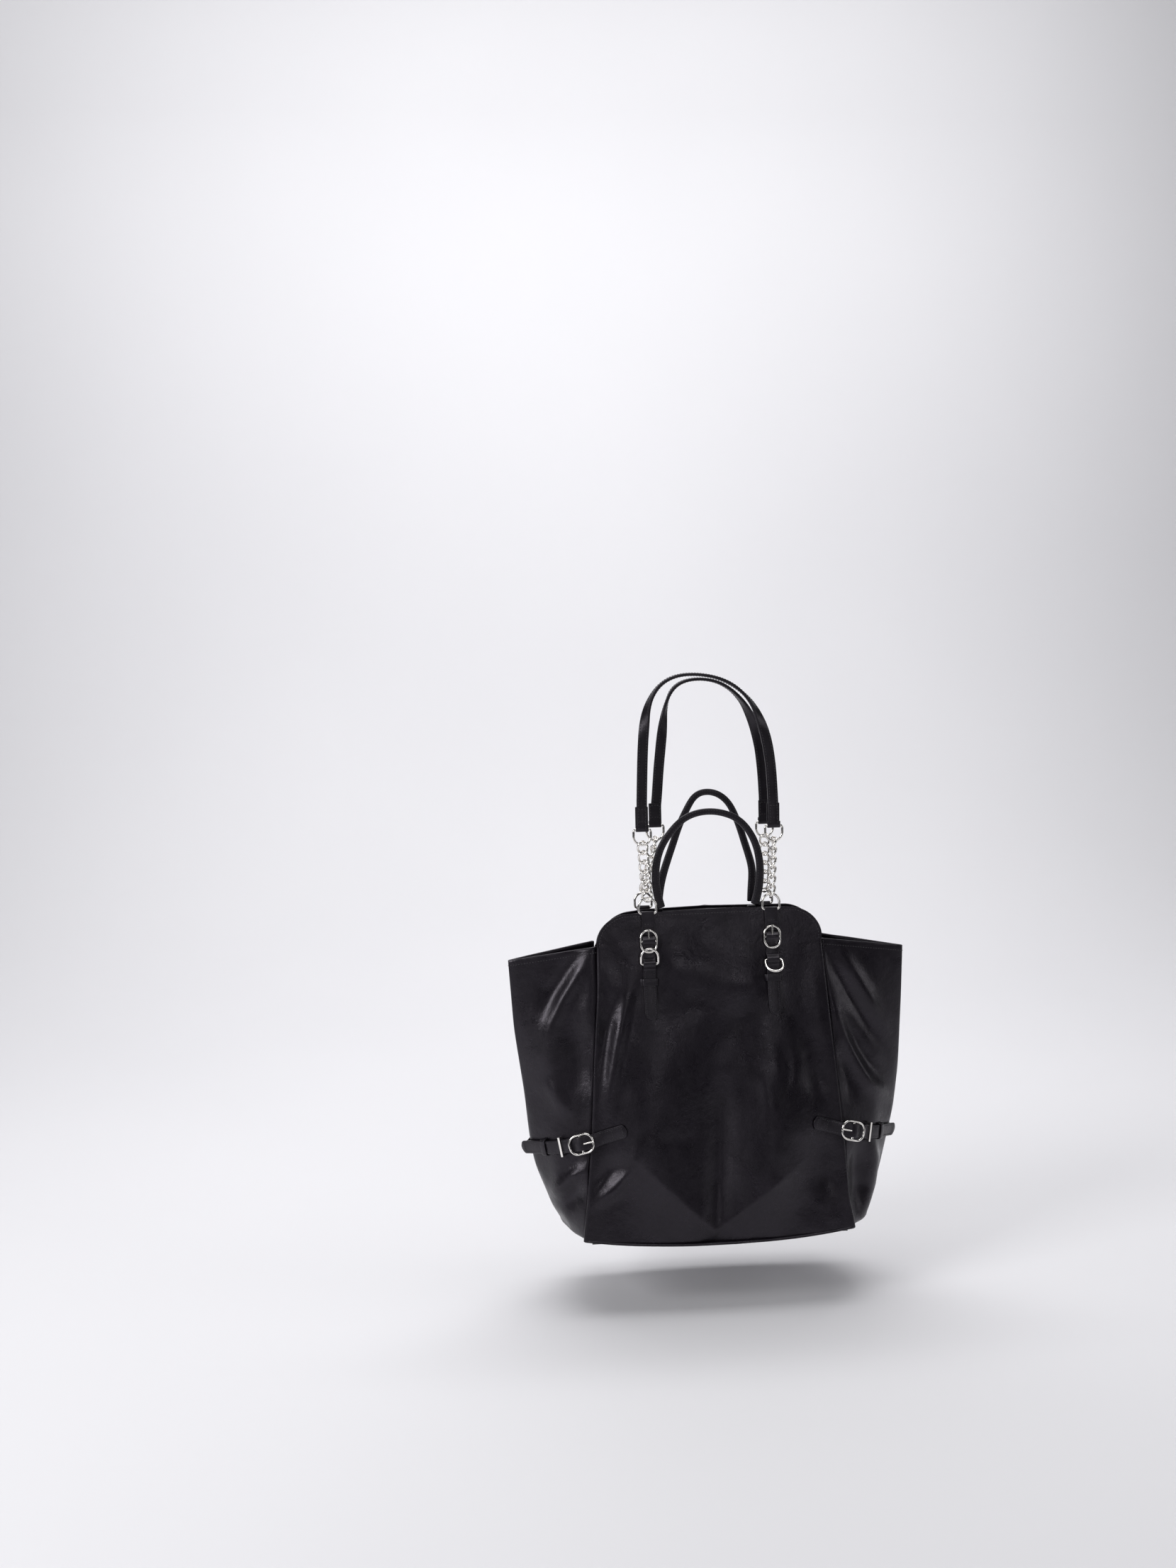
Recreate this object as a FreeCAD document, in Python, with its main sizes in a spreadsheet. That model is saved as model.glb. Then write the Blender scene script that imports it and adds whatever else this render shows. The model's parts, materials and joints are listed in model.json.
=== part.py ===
import FreeCAD, Part
import math
import os

import Sketcher
from FreeCAD import Placement, Rotation, Vector

# A winged leather shopping bag: two panels, two side gussets folded outward,
# chain-and-leather shoulder straps, two short handles, buckled tabs and side belts.
# Millimetres. X is to the right, -Y is the front, +Z is up, and the origin is the
# middle of the base on the ground.

os.makedirs("parts", exist_ok=True)

SIZES = {
    # leather shell
    "panel_slope_height": 386.0,
    "panel_base_half": 158.0,
    "side_taper": 0.0699,
    "panel_corner": 42.0,
    "panel_lean": 0.152,
    "base_depth": 150.0,
    "leather": 2.4,
    "gusset_leather": 2.2,
    "seam_gap": 2.6,
    "gusset_front_top": 340.0,
    "gusset_fold_top": 323.0,
    "base_half": 155.0,
    "base_half_depth": 71.8,
    # inside the bag
    "facing_thick": 1.2,
    "facing_low": 317.0,
    "facing_high": 383.0,
    "facing_low_half": 124.0,
    "facing_high_half": 98.0,
    "lining_thick": 1.0,
    "lining_inset": 4.0,
    "lining_back_off": 4.6,
    "board_length": 300.0,
    "board_width": 132.0,
    "board_thick": 2.0,
    "snap_radius": 9.0,
    "snap_boss": 4.0,
    "snap_thick": 2.4,
    "snap_up": 363.0,
    # metal wire work
    "wire_radius": 1.4,
    "eye_radius": 1.45,
    "ring_wide": 20.2,
    "ring_tall": 18.2,
    "ring_corner": 3.0,
    "link_half": 5.6,
    "link_straight": 3.6,
    "buckle_wide": 18.4,
    "buckle_tall": 25.4,
    "buckle_corner": 9.0,
    "buckle_wire": 1.3,
    "bar_radius": 1.2,
    "bar_eye": 1.25,
    "prong_radius": 1.0,
    "prong_eye": 2.3,
    "prong_eye_wide": 2.4,
    # tabs on the panels
    "tab_spacing": 73.0,
    "tab_width": 15.0,
    "tab_leather": 2.8,
    "tab_low": 259.0,
    "tab_bar_up": 382.0,
    "tab_bar_out": 3.1,
    "tab_fold_low": 367.0,
    "tab_buckle_up": 349.5,
    "tab_buckle_out": 4.3,
    "tab_ring_up": 323.0,
    "tab_ring_out": 4.9,
    "tab_loop_radius": 2.9,
    "hump_outer": 4.05,
    "hump_inner": 2.45,
    "chape_leather": 1.1,
    "chape_low": 311.0,
    "prong_slot": 3.2,
    "keeper_up": 298.0,
    "keeper_tall": 8.4,
    "keeper_wide": 18.5,
    "keeper_leather": 1.3,
    # shoulder straps
    "strap_width": 15.0,
    "strap_leather": 3.4,
    "strap_tail": 26.0,
    # short handles
    "handle_spacing": 56.0,
    "handle_width": 10.0,
    "handle_leather": 4.5,
    "handle_foot_leather": 3.0,
    "handle_foot_low": 340.0,
    # side belts
    "belt_width": 16.0,
    "belt_leather": 1.6,
    "belt_buckle_long": 28.2,
    "belt_buckle_tall": 21.2,
    "belt_buckle_corner": 9.0,
    "belt_buckle_out": 4.0,
    "belt_buckle_shift": 9.6,
    "bridge_wide": 22.4,
    "band_wide": 19.4,
}

# Gusset sections: height above the ground, the fold's distance from the middle, and how
# much of the seam's depth is left where the leather bends between seam and fold.
GUSSET_LEVELS = [(0, 163, 0.50), (15, 179, 0.58), (36, 196, 0.61), (85, 214, 0.62),
                 (120, 221, 0.62), (170, 228, 0.60), (250, 236, 0.54), (340, 240, 0.46)]
BEND_SHARE = 0.55

CHAIN_LINKS = 6
CHAIN_RISE = 62.5
STRAP_APEX = 658.0

doc = FreeCAD.newDocument("winged_bag")
sheet = doc.addObject("Spreadsheet::Sheet", "sizes")
for row, (alias, number) in enumerate(SIZES.items(), 1):
    sheet.set(f"A{row}", alias)
    sheet.set(f"B{row}", str(number))
    sheet.setAlias(f"B{row}", alias)
doc.recompute()

nodes = []


def size(expression):
    """The number that an expression of the sheet's cells gives."""
    return float(sheet.evalExpression(expression))


def node(item, label, place=None):
    """Names an object as a sub-part, places it and keeps it for writing."""
    item.Label = label
    if place is not None:
        item.Placement = place
    nodes.append(item)
    return item


# ---------------------------------------------------------------- sketches

def new_sketch(body, name, role, offset=Placement()):
    sketch = body.newObject("Sketcher::SketchObject", name)
    plane = next(part for part in body.Origin.OriginFeatures if part.Role == role)
    sketch.AttachmentSupport = [(plane, "")]
    sketch.MapMode = "FlatFace"
    sketch.AttachmentOffset = offset
    return sketch


def bind(sketch, constraint, name, expression):
    """Adds a dimension to a sketch and binds it to the sheet."""
    index = sketch.addConstraint(constraint)
    sketch.renameConstraint(index, name)
    sketch.setExpression("Constraints." + name, expression)


def draw_circle(sketch, radius):
    sketch.addGeometry(Part.Circle(Vector(), Vector(0, 0, 1), size(radius)))
    sketch.addConstraint(Sketcher.Constraint("Coincident", 0, 3, -1, 1))
    bind(sketch, Sketcher.Constraint("Radius", 0, size(radius)), "radius", radius)


def draw_rectangle(sketch, wide, tall):
    """A rectangle centred on the sketch's origin."""
    half_wide, half_tall = size(wide) / 2, size(tall) / 2
    corners = [Vector(-half_wide, -half_tall), Vector(half_wide, -half_tall),
               Vector(half_wide, half_tall), Vector(-half_wide, half_tall)]
    for side in range(4):
        sketch.addGeometry(Part.LineSegment(corners[side], corners[(side + 1) % 4]))
    for side in range(4):
        sketch.addConstraint(Sketcher.Constraint("Coincident", side, 2, (side + 1) % 4, 1))
    for side, way in enumerate(("Horizontal", "Vertical", "Horizontal", "Vertical")):
        sketch.addConstraint(Sketcher.Constraint(way, side))
    sketch.addConstraint(Sketcher.Constraint("Symmetric", 0, 1, 2, 1, -1, 1))
    bind(sketch, Sketcher.Constraint("DistanceX", 0, 1, 0, 2, size(wide)), "wide", wide)
    bind(sketch, Sketcher.Constraint("DistanceY", 1, 1, 1, 2, size(tall)), "tall", tall)


def draw_polygon(sketch, corners):
    """A closed polygon whose corners are pairs of expressions."""
    places = [Vector(size(across), size(up)) for across, up in corners]
    count = len(places)
    for side in range(count):
        sketch.addGeometry(Part.LineSegment(places[side], places[(side + 1) % count]))
    for side in range(count):
        sketch.addConstraint(Sketcher.Constraint("Coincident", side, 2, (side + 1) % count, 1))
    for side, (across, up) in enumerate(corners):
        for way, axis, value, text in (("DistanceX", -2, places[side].x, across),
                                       ("DistanceY", -1, places[side].y, up)):
            if abs(value) < 1e-9:
                sketch.addConstraint(Sketcher.Constraint("PointOnObject", side, 1, axis))
            else:
                bind(sketch, Sketcher.Constraint(way, -1, 1, side, 1, value),
                     f"{way[-1].lower()}_{side}", text)


def tangent_chain(sketch, count):
    for item in range(count):
        sketch.addConstraint(Sketcher.Constraint("Tangent", item, 2, (item + 1) % count, 1))


def corner_arc(sketch, x, y, radius, start):
    circle = Part.Circle(Vector(x, y), Vector(0, 0, 1), radius)
    sketch.addGeometry(Part.ArcOfCircle(circle, start, start + math.pi / 2))


def draw_d_path(sketch, wide, tall, corner):
    """A D: a straight bar through the origin, two small corners, sides and a half circle."""
    half, top, small = size(wide) / 2, size(tall), size(corner)
    sketch.addGeometry(Part.LineSegment(Vector(small - half, 0), Vector(half - small, 0)))
    corner_arc(sketch, half - small, small, small, -math.pi / 2)
    sketch.addGeometry(Part.LineSegment(Vector(half, small), Vector(half, top - half)))
    arch = Part.Circle(Vector(0, top - half), Vector(0, 0, 1), half)
    sketch.addGeometry(Part.ArcOfCircle(arch, 0, math.pi))
    sketch.addGeometry(Part.LineSegment(Vector(-half, top - half), Vector(-half, small)))
    corner_arc(sketch, small - half, small, small, math.pi)
    tangent_chain(sketch, 6)
    sketch.addConstraint(Sketcher.Constraint("PointOnObject", 0, 1, -1))
    sketch.addConstraint(Sketcher.Constraint("Horizontal", 0))
    sketch.addConstraint(Sketcher.Constraint("Vertical", 2))
    sketch.addConstraint(Sketcher.Constraint("Vertical", 4))
    sketch.addConstraint(Sketcher.Constraint("PointOnObject", 3, 3, -2))
    sketch.addConstraint(Sketcher.Constraint("Equal", 1, 5))
    bind(sketch, Sketcher.Constraint("Radius", 1, small), "corner", corner)
    bind(sketch, Sketcher.Constraint("Radius", 3, half), "half_wide", f"{wide} / 2")
    bind(sketch, Sketcher.Constraint("DistanceY", -1, 1, 3, 3, top - half), "rise",
         f"{tall} - {wide} / 2")


def draw_round_path(sketch, wide, tall, corner):
    """A rectangle with round corners, centred on the origin, whose first line is its foot."""
    half, up, round_off = size(wide) / 2, size(tall) / 2, size(corner)
    flat, side = half - round_off, up - round_off
    sketch.addGeometry(Part.LineSegment(Vector(-flat, -up), Vector(flat, -up)))
    corner_arc(sketch, flat, -side, round_off, -math.pi / 2)
    sketch.addGeometry(Part.LineSegment(Vector(half, -side), Vector(half, side)))
    corner_arc(sketch, flat, side, round_off, 0)
    sketch.addGeometry(Part.LineSegment(Vector(flat, up), Vector(-flat, up)))
    corner_arc(sketch, -flat, side, round_off, math.pi / 2)
    sketch.addGeometry(Part.LineSegment(Vector(-half, side), Vector(-half, -side)))
    corner_arc(sketch, -flat, -side, round_off, math.pi)
    tangent_chain(sketch, 8)
    for line, way in ((0, "Horizontal"), (2, "Vertical"), (4, "Horizontal"), (6, "Vertical")):
        sketch.addConstraint(Sketcher.Constraint(way, line))
    for arc in (3, 5, 7):
        sketch.addConstraint(Sketcher.Constraint("Equal", 1, arc))
    sketch.addConstraint(Sketcher.Constraint("Symmetric", 1, 3, 5, 3, -1, 1))
    bind(sketch, Sketcher.Constraint("Radius", 1, round_off), "corner", corner)
    bind(sketch, Sketcher.Constraint("DistanceX", 6, 1, 2, 1, 2 * half), "wide", wide)
    bind(sketch, Sketcher.Constraint("DistanceY", 0, 1, 4, 2, 2 * up), "tall", tall)


# ---------------------------------------------------------------- solids

def new_body(name):
    return doc.addObject("PartDesign::Body", name)


def pad(body, sketch, length, inward=True):
    feature = body.newObject("PartDesign::Pad", body.Name + "_pad")
    feature.Profile = sketch
    feature.setExpression("Length", length)
    feature.Reversed = inward
    return feature


def wire_body(name, draw, sizes, wire, start):
    """Round wire bent along a closed path in the XZ plane; start is its first corner."""
    body = new_body(name)
    path = new_sketch(body, name + "_path", "XZ_Plane")
    draw(path, *sizes)
    section = new_sketch(body, name + "_section", "YZ_Plane")
    section.setExpression("AttachmentOffset.Base.z", start[0])
    section.setExpression("AttachmentOffset.Base.y", start[1])
    draw_circle(section, wire)
    pipe = body.newObject("PartDesign::AdditivePipe", name + "_pipe")
    pipe.Profile = section
    pipe.Spine = (path, [])
    return body


def d_ring(name):
    return wire_body(name, draw_d_path,
                     ("sizes.ring_wide", "sizes.ring_tall", "sizes.ring_corner"),
                     "sizes.wire_radius",
                     ("sizes.ring_corner - sizes.ring_wide / 2", "0"))


def strip(name, stations, wide, thick, ruled=False):
    """Leather strip lofted through rectangles; a station is (middle, along, face normal)."""
    body = new_body(name)
    sections = []
    for count, (middle, along, normal) in enumerate(stations):
        turn = Rotation(along.cross(normal) * -1, normal, along, "ZYX")
        sketch = new_sketch(body, f"{name}_section_{count}", "XY_Plane", Placement(middle, turn))
        draw_rectangle(sketch, wide, thick)
        sections.append(sketch)
    loft = body.newObject("PartDesign::AdditiveLoft", name + "_loft")
    loft.Profile = sections[0]
    loft.Sections = sections[1:]
    loft.Ruled = ruled
    return body


def box(name, low, high):
    """A box between two corners given as expressions."""
    item = doc.addObject("Part::Box", name)
    for axis, length, start, end in zip("xyz", ("Length", "Width", "Height"), low, high):
        item.setExpression(length, f"({end}) - ({start})")
        item.setExpression("Placement.Base." + axis, start)
    return item


def rod(name, radius, length, middle, direction):
    """A cylinder centred on middle along direction; the middle is expressions."""
    item = doc.addObject("Part::Cylinder", name)
    item.setExpression("Radius", radius)
    item.setExpression("Height", length)
    item.Placement = Placement(Vector(), Rotation(Vector(0, 0, 1), direction))
    for axis, start, share in zip("xyz", middle, direction):
        item.setExpression("Placement.Base." + axis, f"({start}) - ({length}) / 2 * {share:.9f}")
    return item


def fuse(name, pieces):
    item = doc.addObject("Part::MultiFuse", name)
    item.Shapes = pieces
    return item


def cut(name, base, tool):
    item = doc.addObject("Part::Cut", name)
    item.Base = base
    item.Tool = tool
    return item


def group(name, pieces):
    item = doc.addObject("Part::Compound", name)
    item.Links = pieces
    return item


ACROSS, AWAY, UP = Vector(1, 0, 0), Vector(0, 1, 0), Vector(0, 0, 1)

# A panel's own frame: X across, Z up the slope, +Y into the bag, from its lower outer edge.
LEAN = math.degrees(math.atan(size("sizes.panel_lean")))
FRONT = Placement(Vector(0, -size("sizes.base_depth") / 2, 0), Rotation(ACROSS, -LEAN))
FRONT.Base.z = size("sizes.leather") * math.sin(math.radians(LEAN))
HALF_TURN = Placement(Vector(), Rotation(UP, 180))
SIDES = {"front": Placement(), "back": HALF_TURN}
HANDS = {"left": -1, "right": 1}


def on_panel(x, y, z):
    """The place in the bag's frame of a point in the front panel's frame."""
    return FRONT.multVec(Vector(x, y, z))


# ---------------------------------------------------------------- leather shell

def panel(side):
    body = new_body(side + "_panel_body")
    sketch = new_sketch(body, side + "_panel_outline", "XZ_Plane")
    top_half = "sizes.panel_base_half - sizes.side_taper * sizes.panel_slope_height"
    draw_polygon(sketch, [("-sizes.panel_base_half", "0"), ("sizes.panel_base_half", "0"),
                          (top_half, "sizes.panel_slope_height"),
                          (f"-({top_half})", "sizes.panel_slope_height")])
    feature = pad(body, sketch, "sizes.leather")
    doc.recompute()
    corners = [f"Edge{number}" for number, edge in enumerate(feature.Shape.Edges, 1)
               if edge.BoundBox.XLength < 1 and edge.BoundBox.ZMin > 300]
    rounding = body.newObject("PartDesign::Fillet", side + "_panel_corners")
    rounding.Base = (feature, corners)
    rounding.setExpression("Radius", "sizes.panel_corner")
    node(body, side + "_panel", SIDES[side] * FRONT)


def seam(height):
    """Expressions for a front seam's distance from the middle and its depth at a height."""
    across = f"(sizes.panel_base_half - sizes.side_taper * {height})"
    depth = f"(sizes.base_depth / 2 - sizes.panel_lean * {height})"
    return across, depth


def inward_normal(start, end):
    """Unit vector to the inner side of the leather that runs from start to end."""
    way = (end - start).normalize()
    return Vector(way.y, -way.x, 0)


def gusset(hand):
    """Leather that opens inward: front seam, bend, fold line, bend, back seam."""
    body = new_body(hand + "_gusset_body")
    sections = []
    for height, fold, left in GUSSET_LEVELS:
        across, depth = seam(height)
        rise = f"({depth} - sizes.seam_gap)"
        outer = [(across, rise), (f"({across} + {BEND_SHARE} * ({fold} - {across}))",
                                  f"({left} * {rise})"), (str(fold), "0")]
        edge, bend, tip = [Vector(size(x), size(y), 0) for x, y in outer]
        first, second = inward_normal(edge, bend), inward_normal(bend, tip)
        mitre = (first + second) * (1 / (1 + first.dot(second)))
        shifts = [first, mitre, Vector(1 / second.x, 0, 0)]
        inner = [(f"{x} + sizes.gusset_leather * {shift.x:.6f}",
                  f"{y} + sizes.gusset_leather * {shift.y:.6f}")
                 for (x, y), shift in zip(outer, shifts)]
        front = [(x, f"-({y})") for x, y in outer[:2]]
        inner_front = [(x, f"-({y})") for x, y in inner[:2]]
        sketch = new_sketch(body, f"{hand}_gusset_{height}", "XY_Plane",
                            Placement(Vector(0, 0, height), Rotation()))
        draw_polygon(sketch, front + [outer[2], outer[1], outer[0]] + inner + inner_front[::-1])
        sections.append(sketch)
    loft = body.newObject("PartDesign::AdditiveLoft", hand + "_gusset_loft")
    loft.Profile = sections[0]
    loft.Sections = sections[1:]
    loft.Ruled = True
    trim = new_sketch(body, hand + "_gusset_trim", "XZ_Plane")
    beyond = "sizes.gusset_front_top + 40"
    slope = "(sizes.gusset_front_top - sizes.gusset_fold_top) * 1.3"
    draw_polygon(trim, [("120", "sizes.gusset_front_top + 2"), ("120", beyond), ("270", beyond),
                        ("270", f"sizes.gusset_front_top + 2 - {slope}")])
    pocket = body.newObject("PartDesign::Pocket", hand + "_gusset_top")
    pocket.Profile = trim
    pocket.Type = "ThroughAll"
    pocket.Midplane = True
    place = HALF_TURN if hand == "left" else Placement()
    node(body, hand + "_gusset", place)


def plate(label, long, wide, thick, low):
    body = new_body(label + "_body")
    sketch = new_sketch(body, label + "_outline", "XY_Plane")
    draw_rectangle(sketch, long, wide)
    pad(body, sketch, thick, inward=False)
    node(body, label, Placement(Vector(0, 0, size(low)), Rotation()))


def facing(side):
    body = new_body(side + "_facing_body")
    sketch = new_sketch(body, side + "_facing_outline", "XZ_Plane")
    draw_polygon(sketch, [("-sizes.facing_low_half", "sizes.facing_low"),
                          ("sizes.facing_low_half", "sizes.facing_low"),
                          ("sizes.facing_high_half", "sizes.facing_high"),
                          ("-sizes.facing_high_half", "sizes.facing_high")])
    pad(body, sketch, "sizes.facing_thick")
    step = Placement(Vector(0, size("sizes.leather + 0.1"), 0), Rotation())
    node(body, side + "_facing", SIDES[side] * FRONT * step)


LINING_FLOOR = 4.6
LINING_LEVELS = [(LINING_FLOOR, 158.0), (36, 190), (85, 208), (120, 215), (170, 221),
                 (250, 227), (313, 225)]


def lining():
    """An open cloth bag: one loft for its outside and a second one cut out of it."""
    body = new_body("lining_body")
    for feature_type, inward in (("AdditiveLoft", "0"), ("SubtractiveLoft", "sizes.lining_thick")):
        sections = []
        for height, fold in LINING_LEVELS:
            lift = 1.0 if inward != "0" and height == LINING_FLOOR else 0.0
            across, depth = seam(height)
            x = f"({across} - sizes.lining_inset - {inward})"
            y = f"({depth} - sizes.lining_back_off - {inward})"
            fold_x = f"({fold} - {inward} * sqrt(({fold} - {x})^2 + {y}^2) / {y})"
            sketch = new_sketch(body, f"lining_{feature_type}_{int(height)}", "XY_Plane",
                                Placement(Vector(0, 0, height + lift), Rotation()))
            draw_polygon(sketch, [(x, f"-{y}"), (fold_x, "0"), (x, y),
                                  (f"-{x}", y), (f"-{fold_x}", "0"), (f"-{x}", f"-{y}")])
            sections.append(sketch)
        loft = body.newObject("PartDesign::" + feature_type, "lining_" + feature_type)
        loft.Profile = sections[0]
        loft.Sections = sections[1:]
        doc.recompute()
    node(body, "lining")


def snap(side, label):
    """Half of the magnetic closure: a disc with a boss, or a disc with a hole for it."""
    body = new_body(label + "_body")
    disc = new_sketch(body, label + "_disc", "XZ_Plane")
    draw_circle(disc, "sizes.snap_radius")
    pad(body, disc, "sizes.snap_thick")
    doc.recompute()
    boss = new_sketch(body, label + "_boss", "XZ_Plane")
    if side == "front":
        draw_circle(boss, "sizes.snap_boss + 0.3")
        boss.AttachmentOffset = Placement(Vector(0, 0, -size("sizes.snap_thick")), Rotation())
        recess = body.newObject("PartDesign::Pocket", label + "_recess")
        recess.Profile = boss
        recess.setExpression("Length", "sizes.snap_thick / 2")
        recess.Reversed = True
    else:
        draw_circle(boss, "sizes.snap_boss")
        pad(body, boss, "sizes.snap_thick + 1.2")
    inset = size("sizes.leather + sizes.facing_thick + 0.2")
    place = Placement(Vector(0, inset, size("sizes.snap_up")), Rotation())
    node(body, label, SIDES[side] * FRONT * place)


# ---------------------------------------------------------------- tabs on the panels

def tab(side, hand):
    """Leather tab: loop for the top ring, hump over the buckle's bar, loop for the low ring."""
    name = f"{side}_{hand}_tab"
    half = "sizes.tab_width / 2"
    bar_up, bar_out = "sizes.tab_bar_up", "-sizes.tab_bar_out"
    buckle_up, buckle_out = "sizes.tab_buckle_up", "-sizes.tab_buckle_out"
    ring_up, ring_out = "sizes.tab_ring_up", "-sizes.tab_ring_out"
    skin = "-sizes.tab_leather - 0.1"
    tip_up = f"sizes.tab_low + {half}"
    solid = fuse(name + "_solid", [
        box(name + "_strip", (f"-{half}", skin, tip_up), (half, "-0.1", f"{bar_up} - 2")),
        rod(name + "_tip", half, "sizes.tab_leather",
            ("0", "-0.1 - sizes.tab_leather / 2", tip_up), AWAY),
        box(name + "_fold", (f"-{half}", f"{skin} - 1.5", "sizes.tab_fold_low"),
            (half, skin, f"{bar_up} - 1")),
        rod(name + "_top_loop", "sizes.tab_loop_radius", "sizes.tab_width",
            ("0", bar_out, bar_up), ACROSS),
        rod(name + "_hump", "sizes.hump_outer", "sizes.tab_width",
            ("0", buckle_out, buckle_up), ACROSS),
        box(name + "_hump_legs", (f"-{half}", buckle_out, f"{buckle_up} - sizes.hump_outer"),
            (half, "-0.1", f"{buckle_up} + sizes.hump_outer")),
        rod(name + "_ring_loop", "sizes.tab_loop_radius", "sizes.tab_width",
            ("0", ring_out, ring_up), ACROSS),
    ])
    long = "sizes.tab_width + 4"
    hollow = fuse(name + "_hollow", [
        rod(name + "_top_bore", "sizes.eye_radius", long, ("0", bar_out, bar_up), ACROSS),
        rod(name + "_ring_bore", "sizes.eye_radius", long, ("0", ring_out, ring_up), ACROSS),
        rod(name + "_hump_bore", "sizes.hump_inner", long, ("0", buckle_out, buckle_up), ACROSS),
        box(name + "_hump_way", ("-20", buckle_out, f"{buckle_up} - sizes.hump_inner"),
            ("20", "0.5", f"{buckle_up} + sizes.hump_inner")),
        box(name + "_chape_way",
            ("-20", "-sizes.chape_leather - 0.2", "sizes.chape_low - 0.5"),
            ("20", "0.5", buckle_up)),
        box(name + "_slot",
            ("-sizes.prong_slot / 2", "-12", f"{buckle_up} - 2.8"),
            ("sizes.prong_slot / 2", "-2.95", f"{buckle_up} + sizes.hump_outer + 0.5")),
    ])
    place = Placement(Vector(HANDS[hand] * size("sizes.tab_spacing"), 0, 0), Rotation())
    node(cut(name + "_cut", solid, hollow), name, SIDES[side] * FRONT * place)


def chape(name, width):
    """Thin strip sewn under a tab, looped round the buckle's bar and slotted for the prong."""
    half = f"{width} / 2 - 0.5"
    up, out = "sizes.tab_buckle_up", "-sizes.tab_buckle_out"
    loop = "(sizes.bar_eye + sizes.chape_leather)"
    solid = fuse(name + "_solid", [
        box(name + "_strip", (f"-({half})", "-sizes.chape_leather - 0.1", "sizes.chape_low"),
            (half, "-0.1", f"{up} - 1")),
        box(name + "_riser", (f"-({half})", out, f"{up} - {loop}"), (half, "-0.1", f"{up} - 0.8")),
        rod(name + "_loop", loop, f"{width} - 1", ("0", out, up), ACROSS),
    ])
    hollow = fuse(name + "_hollow", [
        rod(name + "_bore", "sizes.bar_eye", f"{width} + 2", ("0", out, up), ACROSS),
        box(name + "_slot", ("-sizes.prong_slot / 2", "-9", f"{up} - 2.6"),
            ("sizes.prong_slot / 2", f"{out} + 2.6", f"{up} + 3")),
    ])
    return cut(name + "_cut", solid, hollow)


def tab_pair(side, kind, make):
    """One node that holds the same fixed piece on both tabs of a panel."""
    pieces = []
    for hand, sign in HANDS.items():
        piece = make(f"{side}_{hand}_{kind}")
        piece.Placement = Placement(Vector(sign * size("sizes.tab_spacing"), 0, 0), Rotation())
        pieces.append(piece)
    node(group(f"{side}_{kind}_pair", pieces), f"{side}_tab_{kind}s", SIDES[side] * FRONT)


def keeper(name):
    """A leather band round the tab, open only for the tab itself."""
    half = "sizes.keeper_wide / 2"
    outer = "-sizes.tab_leather - 0.3 - sizes.keeper_leather"
    high = "sizes.keeper_up + sizes.keeper_tall"
    band = box(name + "_band", (f"-{half}", outer, "sizes.keeper_up"), (half, "-0.1", high))
    way = box(name + "_way", ("-sizes.tab_width / 2 - 0.3", "-sizes.tab_leather - 0.3",
                              "sizes.keeper_up - 2"),
              ("sizes.tab_width / 2 + 0.3", "1", f"{high} + 2"))
    return cut(name + "_cut", band, way)


def tab_buckle(side, hand):
    name = f"{side}_{hand}_buckle"
    frame = wire_body(name + "_frame", draw_round_path,
                      ("sizes.buckle_wide", "sizes.buckle_tall", "sizes.buckle_corner"),
                      "sizes.buckle_wire",
                      ("sizes.buckle_corner - sizes.buckle_wide / 2", "-sizes.buckle_tall / 2"))
    bar = rod(name + "_bar", "sizes.bar_radius", "sizes.buckle_wide", ("0", "0", "0"), ACROSS)
    place = Placement(Vector(HANDS[hand] * size("sizes.tab_spacing"),
                             -size("sizes.tab_buckle_out"), size("sizes.tab_buckle_up")), Rotation())
    node(fuse(name + "_solid", [frame, bar]), name, SIDES[side] * FRONT * place)


def prong(name, reach):
    """Eye round the bar and a straight tongue that lies over the frame's end."""
    lift = "(sizes.buckle_wire + sizes.prong_radius + 0.2)"
    slope = math.degrees(math.atan2(0.55, reach))
    tongue = doc.addObject("Part::Cylinder", name + "_tongue")
    tongue.setExpression("Radius", "sizes.prong_radius")
    tongue.Height = reach
    tongue.Placement = Placement(Vector(), Rotation(ACROSS, slope))
    tongue.setExpression("Placement.Base.y", f"-{lift} + 0.55")
    eye = rod(name + "_eye", "sizes.prong_eye", "sizes.prong_eye_wide", ("0", "0", "0"), ACROSS)
    bore = rod(name + "_bore", "sizes.bar_eye", "9", ("0", "0", "0"), ACROSS)
    return cut(name + "_cut", fuse(name + "_solid", [eye, tongue]), bore)


def tab_prong(side, hand):
    place = Placement(Vector(HANDS[hand] * size("sizes.tab_spacing"),
                             -size("sizes.tab_buckle_out"), size("sizes.tab_buckle_up")), Rotation())
    node(prong(f"{side}_{hand}_prong_piece", 14.4), f"{side}_{hand}_prong",
         SIDES[side] * FRONT * place)


# How far each low ring is turned up from hanging flat on the panel. The front left one
# is flipped up and the front right one stands off; the back ones hang.
RING_TURNS = {("front", "left"): 168.0, ("front", "right"): 45.0,
              ("back", "left"): 6.0, ("back", "right"): 6.0}


def low_ring(side, hand):
    """D-ring in the tab's lower loop."""
    turn = 180 - RING_TURNS[side, hand]
    place = Placement(Vector(HANDS[hand] * size("sizes.tab_spacing"),
                             -size("sizes.tab_ring_out"), size("sizes.tab_ring_up")),
                      Rotation(ACROSS, turn))
    name = f"{side}_{hand}_low_ring"
    node(d_ring(name + "_body"), name, SIDES[side] * FRONT * place)


# ---------------------------------------------------------------- shoulder straps

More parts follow.
